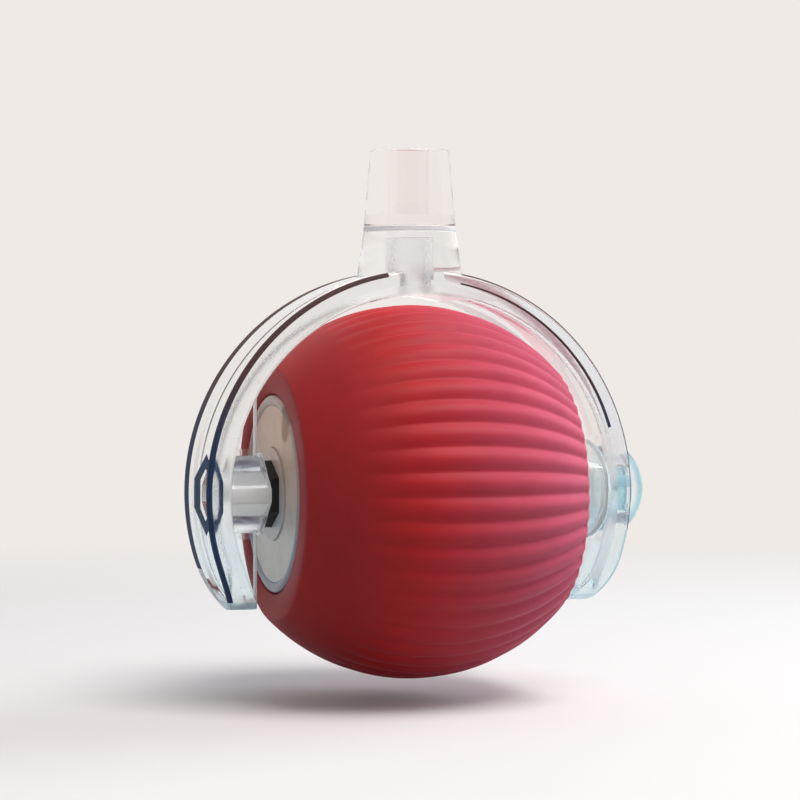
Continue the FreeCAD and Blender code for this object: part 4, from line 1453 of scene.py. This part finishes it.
@dataclass
class EndCap:
    """Translucent cap of one end: a disc in a rounded ring, with a finger notch."""

    end: End
    body: str = "ball"
    face: float = 17.0 * MM
    thickness: float = 1.8 * MM
    ring_radius: float = 11.5 * MM
    ring_inside: float = 10.3 * MM
    ring_sink: float = 0.34 * MM
    ring_steps: int = 10
    # Painted light on the ring: warm at the top, cool blue low down
    ring_painted_top: Colour = (0.5, 0.38, 0.33)
    ring_painted_bottom: Colour = (0.34, 0.38, 0.44)
    disc_radius: float = 10.28 * MM
    disc_sink: float = 0.22 * MM
    bore: float = 5.46 * MM
    peg_turns: tuple[int, ...] = (30, 150, 270)
    peg_circle: float = 8.9 * MM
    peg_radius: float = 0.78 * MM
    peg_length: float = 1.1 * MM
    peg_root: float = 0.55 * MM
    notch_turn: float = math.radians(34)
    notch_half: float = 1.6 * MM
    notch_centre: float = 9.3 * MM
    notch_depth: float = 0.42 * MM
    notch_steps: int = 24

    def start(self) -> tuple[Vector, Vector]:
        """Middle of the cap's outer face and the direction into the ball."""
        sign = self.end.value
        return BALL_CENTRE + ALONG_X * self.face * sign, -ALONG_X * sign

    def notch(self) -> Solid:
        """Makes the cutter of the finger notch: a round end that runs out at the rim.

        Returns:
            The cutter.
        """
        face, into = self.start()
        outward = Vector((0, -math.sin(self.notch_turn), math.cos(self.notch_turn)))
        across = into.cross(outward) * self.notch_half
        angles = [math.pi * k / self.notch_steps for k in range(self.notch_steps + 1)]
        outline = [
            outward * (self.notch_centre - self.notch_half * math.sin(a)) + across * math.cos(a) for a in angles
        ]
        outline += [outward * (self.ring_radius + SPARE) + across * side for side in (-1, 1)]
        ends = ([face + into * run + place for place in outline] for run in (-SPARE, self.notch_depth))
        return between("notch", *ends, clockwise=True)

    def shape(
        self, name: str, profile: Outline, plastic: CapPlastic, node: str, slot: str, pegs: tuple[int, ...] = ()
    ) -> None:
        """Builds and dresses one notched piece of the cap.

        Args:
            name: the piece's name.
            profile: its closed profile, as depth from the outer face and radius.
            plastic: its finish.
            node: the CAD node that it stands for.
            slot: not used.
            pegs: places round it of the pegs on its inner side, in degrees.
        """
        face, into = self.start()
        blank = turned("cap_blank", profile, face, into, looped=True)
        steps = [("DIFFERENCE", self.notch())]
        for turn in map(math.radians, pegs):
            side = Vector((0, math.cos(turn), math.sin(turn))) * self.peg_circle
            root = face + into * (self.thickness - self.peg_root) + side
            end = root + into * (self.peg_root + self.peg_length)
            steps.append(("UNION", bar("peg", root, end, self.peg_radius)))
        finish_piece(carve_smooth(name, blank, steps), self.body, (node,), plastic.material())

    def build(self) -> None:
        """Builds and dresses the ring, and the driven end's disc."""
        side, node = ("driven", "left_cap") if self.end is End.DRIVEN else ("free", "right_cap")
        middle, half = (self.ring_radius + self.ring_inside) / 2, (self.ring_radius - self.ring_inside) / 2
        deep = self.thickness
        ring: Outline = [(deep, self.ring_radius), (deep, self.ring_inside)]
        for k in range(self.ring_steps + 1):
            angle = math.pi * k / self.ring_steps
            ring.append((self.ring_sink * (1 - math.sin(angle)), middle - half * math.cos(angle)))
        plastic = CapPlastic(f"{side}_ring_plastic", self.ring_painted_top, self.ring_painted_bottom)
        self.shape(f"{side}_cap_ring", ring, plastic, f"{node}_rim", "cap_rim_plastic")
        if self.end is End.DRIVEN:
            top, wide = self.disc_sink, self.disc_radius
            disc = [(top, self.bore), (top, wide), (deep, wide), (deep, self.bore)]
            plastic = CapPlastic(f"{side}_disc_plastic")
            self.shape(f"{side}_cap_disc", disc, plastic, node, "cap_plastic", self.peg_turns)


@dataclass
class TailTube:
    """Tapered tail socket above the base."""

    name: str = "tail_tube_shell"
    body: str = "root"
    foot: float = 31.24 * MM
    foot_radius: float = 5.4 * MM
    foot_bevel: float = 0.1 * MM
    top_radius: float = 4.67 * MM
    edge: float = 0.3 * MM
    bore_radius: float = 2.45 * MM
    bore_depth: float = 7.7 * MM
    steps: int = 8

    def build(self) -> None:
        """Builds and dresses the tube."""
        height = -BALL_CENTRE.z - self.foot
        profile = [(0.0, self.foot_radius - self.foot_bevel), (self.foot_bevel, self.foot_radius)]
        for k in range(self.steps + 1):
            angle = math.pi / 2 * k / self.steps
            profile.append((
                height - self.edge * (1 - math.sin(angle)), self.top_radius - self.edge * (1 - math.cos(angle)),
            ))
        blank = turned("tube", profile, BALL_CENTRE + ALONG_Z * self.foot, ALONG_Z)
        bore = bar("bore", -ALONG_Z * self.bore_depth, ALONG_Z * SPARE, self.bore_radius)
        tube = carve_smooth(self.name, blank, [("DIFFERENCE", bore)])
        plastic = ClearPlastic("tube_plastic", colour=(1.0, 0.99, 0.98), index=1.4)
        finish_piece(tube, self.body, ("tail_tube",), plastic.material())


@dataclass(frozen=True)
class SoftBox:
    """Soft lamp that faces the ball, from a place that is given from the ball's centre."""

    name: str
    place: tuple[float, float, float]
    size: tuple[float, float]
    watts: float
    colour: Colour
    mirrored: bool = True

    def build(self) -> None:
        """Adds the lamp, which glass does not show and polished faces only where it is mirrored."""
        data = bpy.data.lights.new(self.name, "AREA")
        data.shape = "RECTANGLE"
        data.size, data.size_y = self.size
        data.energy = self.watts
        data.color = self.colour
        lamp = add_object(self.name, data)
        place = Vector(self.place)
        lamp.location = BALL_CENTRE + place
        lamp.rotation_euler = (-place).to_track_quat("-Z", "Y").to_euler()
        lamp.visible_transmission = False
        lamp.visible_glossy = self.mirrored


@dataclass
class Studio:
    """Pale floor, soft light and the camera at the photograph's angle."""

    focal_px: float = 2755.0
    frame_px: float = 800.0
    ball_px: tuple[float, float] = (409.6, 491.37)
    distance: float = 325.5 * MM
    camera_turn: float = math.radians(18.58)
    camera_rise: float = math.radians(3.08)
    sensor_mm: float = 36.0
    clip: tuple[float, float] = (0.01, 20.0)
    floor_drop: float = 2.3 * MM
    floor_size: float = 0.3
    floor_fade: tuple[float, float] = (0.09, 0.28)
    floor_colour: Colour = (0.83, 0.8, 0.78)
    floor_bounce: Colour = (0.35, 0.33, 0.32)
    backdrop_colour: Colour = (0.86, 0.82, 0.79)
    ambient_colour: Colour = (0.9, 0.93, 1.0)
    ambient: float = 0.33
    room_low: Colour = (0.02, 0.045, 0.12)
    room_high: Colour = (0.09, 0.05, 0.045)
    room_rise: tuple[float, float] = (-0.2, 0.5)
    room_reach: tuple[float, float] = (-0.45, -0.05)
    bounces: int = 32
    lamps: tuple[SoftBox, ...] = (
        SoftBox("key_lamp", (0.12, -0.2, 0.46), (0.3, 0.3), 2.25, (1.0, 0.98, 0.96)),
        SoftBox("side_lamp", (0.46, 0.14, 0.14), (0.3, 0.4), 2.2, (0.78, 0.89, 1.0), mirrored=False),
        SoftBox("fill_lamp", (-0.4, -0.35, 0.1), (0.4, 0.4), 0.2, (1.0, 0.96, 0.93)),
    )

    def camera(self) -> None:
        """Adds the camera so that the ball's centre falls on its pixel."""
        back = Vector((
            -math.sin(self.camera_turn) * math.cos(self.camera_rise),
            -math.cos(self.camera_turn) * math.cos(self.camera_rise),
            math.sin(self.camera_rise),
        ))
        right = ALONG_Z.cross(back).normalized()
        up = back.cross(right)
        scale = self.distance / self.focal_px
        half = self.frame_px / 2
        aim = BALL_CENTRE - right * (self.ball_px[0] - half) * scale + up * (self.ball_px[1] - half) * scale
        place = BALL_CENTRE + back * self.distance
        data = bpy.data.cameras.new("camera")
        data.sensor_width = self.sensor_mm
        data.lens = self.focal_px / self.frame_px * self.sensor_mm
        data.clip_start, data.clip_end = self.clip
        camera = add_object("camera", data)
        camera.location = place
        camera.rotation_euler = (aim - place).to_track_quat("-Z", "Y").to_euler()
        bpy.context.scene.camera = camera

    def floor(self) -> None:
        """Adds the floor, which fades into the backdrop's colour away from the part."""
        z = CAD_BOX[0][2] - self.floor_drop
        turns = [2 * math.pi * k / TURNED_SIDES for k in range(TURNED_SIDES)]
        rim = [Vector((self.floor_size * math.cos(a), self.floor_size * math.sin(a), z)) for a in turns]
        floor = add_mesh("floor", rim, [tuple(range(TURNED_SIDES))])
        recipe = Recipe("pale_floor", Roughness=0.7)
        seen = recipe.rays("Camera", "Glossy", "Transmission")
        recipe.give("Base Color", recipe.mix(seen, self.floor_bounce, self.floor_colour))
        glow = recipe.add("Emission")
        recipe.feed(glow.inputs["Color"], self.backdrop_colour)
        length = recipe.add("VectorMath")
        length.operation = "LENGTH"
        recipe.feed(length.inputs[0], recipe.place())
        far = recipe.stretch(length.outputs["Value"], *self.floor_fade)
        recipe.feed(recipe.surface, recipe.blend(far, recipe.shader.outputs[0], glow.outputs[0]))
        floor.data.materials.append(recipe.material)

    def world(self) -> None:
        """Sets the soft surroundings: pale to the eye and in glass, dimmer as light."""
        world = bpy.data.worlds.new("studio")
        bpy.context.scene.world = world
        world.use_nodes = True
        shades = Shades(world.node_tree)
        shades.nodes.clear()

        def light(colour: Socket | Colour, strength: float = 1.0) -> Socket:
            """Adds light from all round.

            Args:
                colour: its colour.
                strength: its strength.

            Returns:
                The light's shader.
            """
            node = shades.add("Background")
            for name, value in (("Color", colour), ("Strength", strength)):
                shades.feed(node.inputs[name], value)
            return node.outputs[0]

        direction = shades.add("SeparateXYZ")
        shades.feed(direction.inputs[0], shades.add("TexCoord").outputs["Generated"])
        rise, depth = direction.outputs["Z"], direction.outputs["Y"]
        front = shades.mix(shades.stretch(rise, *self.room_rise), self.room_low, self.room_high)
        room = shades.mix(shades.stretch(depth, *self.room_reach), front, self.backdrop_colour)
        mirrored = shades.rays("Glossy", "Transmission")
        inner = shades.blend(mirrored, light(self.ambient_colour, self.ambient), light(room))
        surface = shades.blend(shades.rays("Camera"), inner, light(self.backdrop_colour))
        shades.feed(shades.add("OutputWorld").inputs["Surface"], surface)

    def build(self) -> None:
        """Builds the camera, floor, lamps and surroundings."""
        self.camera()
        self.floor()
        self.world()
        for lamp in self.lamps:
            lamp.build()
        scene = bpy.context.scene
        scene.view_settings.view_transform = "Standard"
        scene.cycles.max_bounces = self.bounces
        scene.cycles.transmission_bounces = self.bounces
        scene.cycles.glossy_bounces = self.bounces
        LOG.info("studio built")


def main() -> None:
    """Builds the part's looks in order."""
    logging.basicConfig(level=logging.INFO, format="%(name)s: %(message)s")
    for assembly in (
        Studio(), SiliconeBall(), ClearYoke(), PivotKnob(), TailTube(), EndCap(End.DRIVEN), EndCap(End.FREE),
    ):
        assembly.build()
    for finish, *nodes in (
        (ClearPlastic("hub_clear_plastic", colour=(0.9, 0.94, 0.92), roughness=0.1, clarity=0.82), "pivot_hub"),
        (CapPlastic("cap_plastic"), "right_cap"),
        # Painted light: warm at the top, cooler low down
        (CapPlastic("drive_hub_plastic", (0.66, 0.5, 0.42), (0.6, 0.65, 0.68)), "drive_hub"),
        (MouldedPlastic("black_plastic", (0.012, 0.012, 0.014), 0.25),
         "hex_liner", "power_button", "button_switch", "motor_cap", "board_parts"),
        (MouldedPlastic("gear_plastic", (0.8, 0.79, 0.74), 0.35),
         "drive_bush", "axle_bush", "ring_gear", "idler_pinion", "idler_wheel", "motor_pinion"),
        (MouldedPlastic("shell_plastic", (0.09, 0.09, 0.1), 0.45),
         "core_frame", "core_cover", "gear_plate", "motor_deck"),
        (MouldedPlastic("pale_shell_plastic", (0.5, 0.47, 0.45), 0.4), "left_shell", "right_shell"),
        (MouldedPlastic("steel", (0.55, 0.55, 0.56), 0.3, metallic=1.0),
         "ring_screws", "core_screws", "motor_shaft", "drive_motor", "ballast", "charging_jack"),
        (MouldedPlastic("circuit_board", (0.02, 0.16, 0.07), 0.4), "port_board", "circuit_board"),
        (MouldedPlastic("lamp", (0.9, 0.9, 0.85), 0.2), "status_led"),
        (MouldedPlastic("cell_foil", (0.65, 0.66, 0.68), 0.35, metallic=1.0), "battery"),
        (MouldedPlastic("foam", (0.06, 0.06, 0.065), 0.9), "battery_pad"),
        (MouldedPlastic("lead_cover", (0.4, 0.02, 0.02), 0.4), "port_leads", "battery_leads", "motor_leads"),
    ):
        dress(finish, *nodes)


if __name__ == "__main__":
    main()
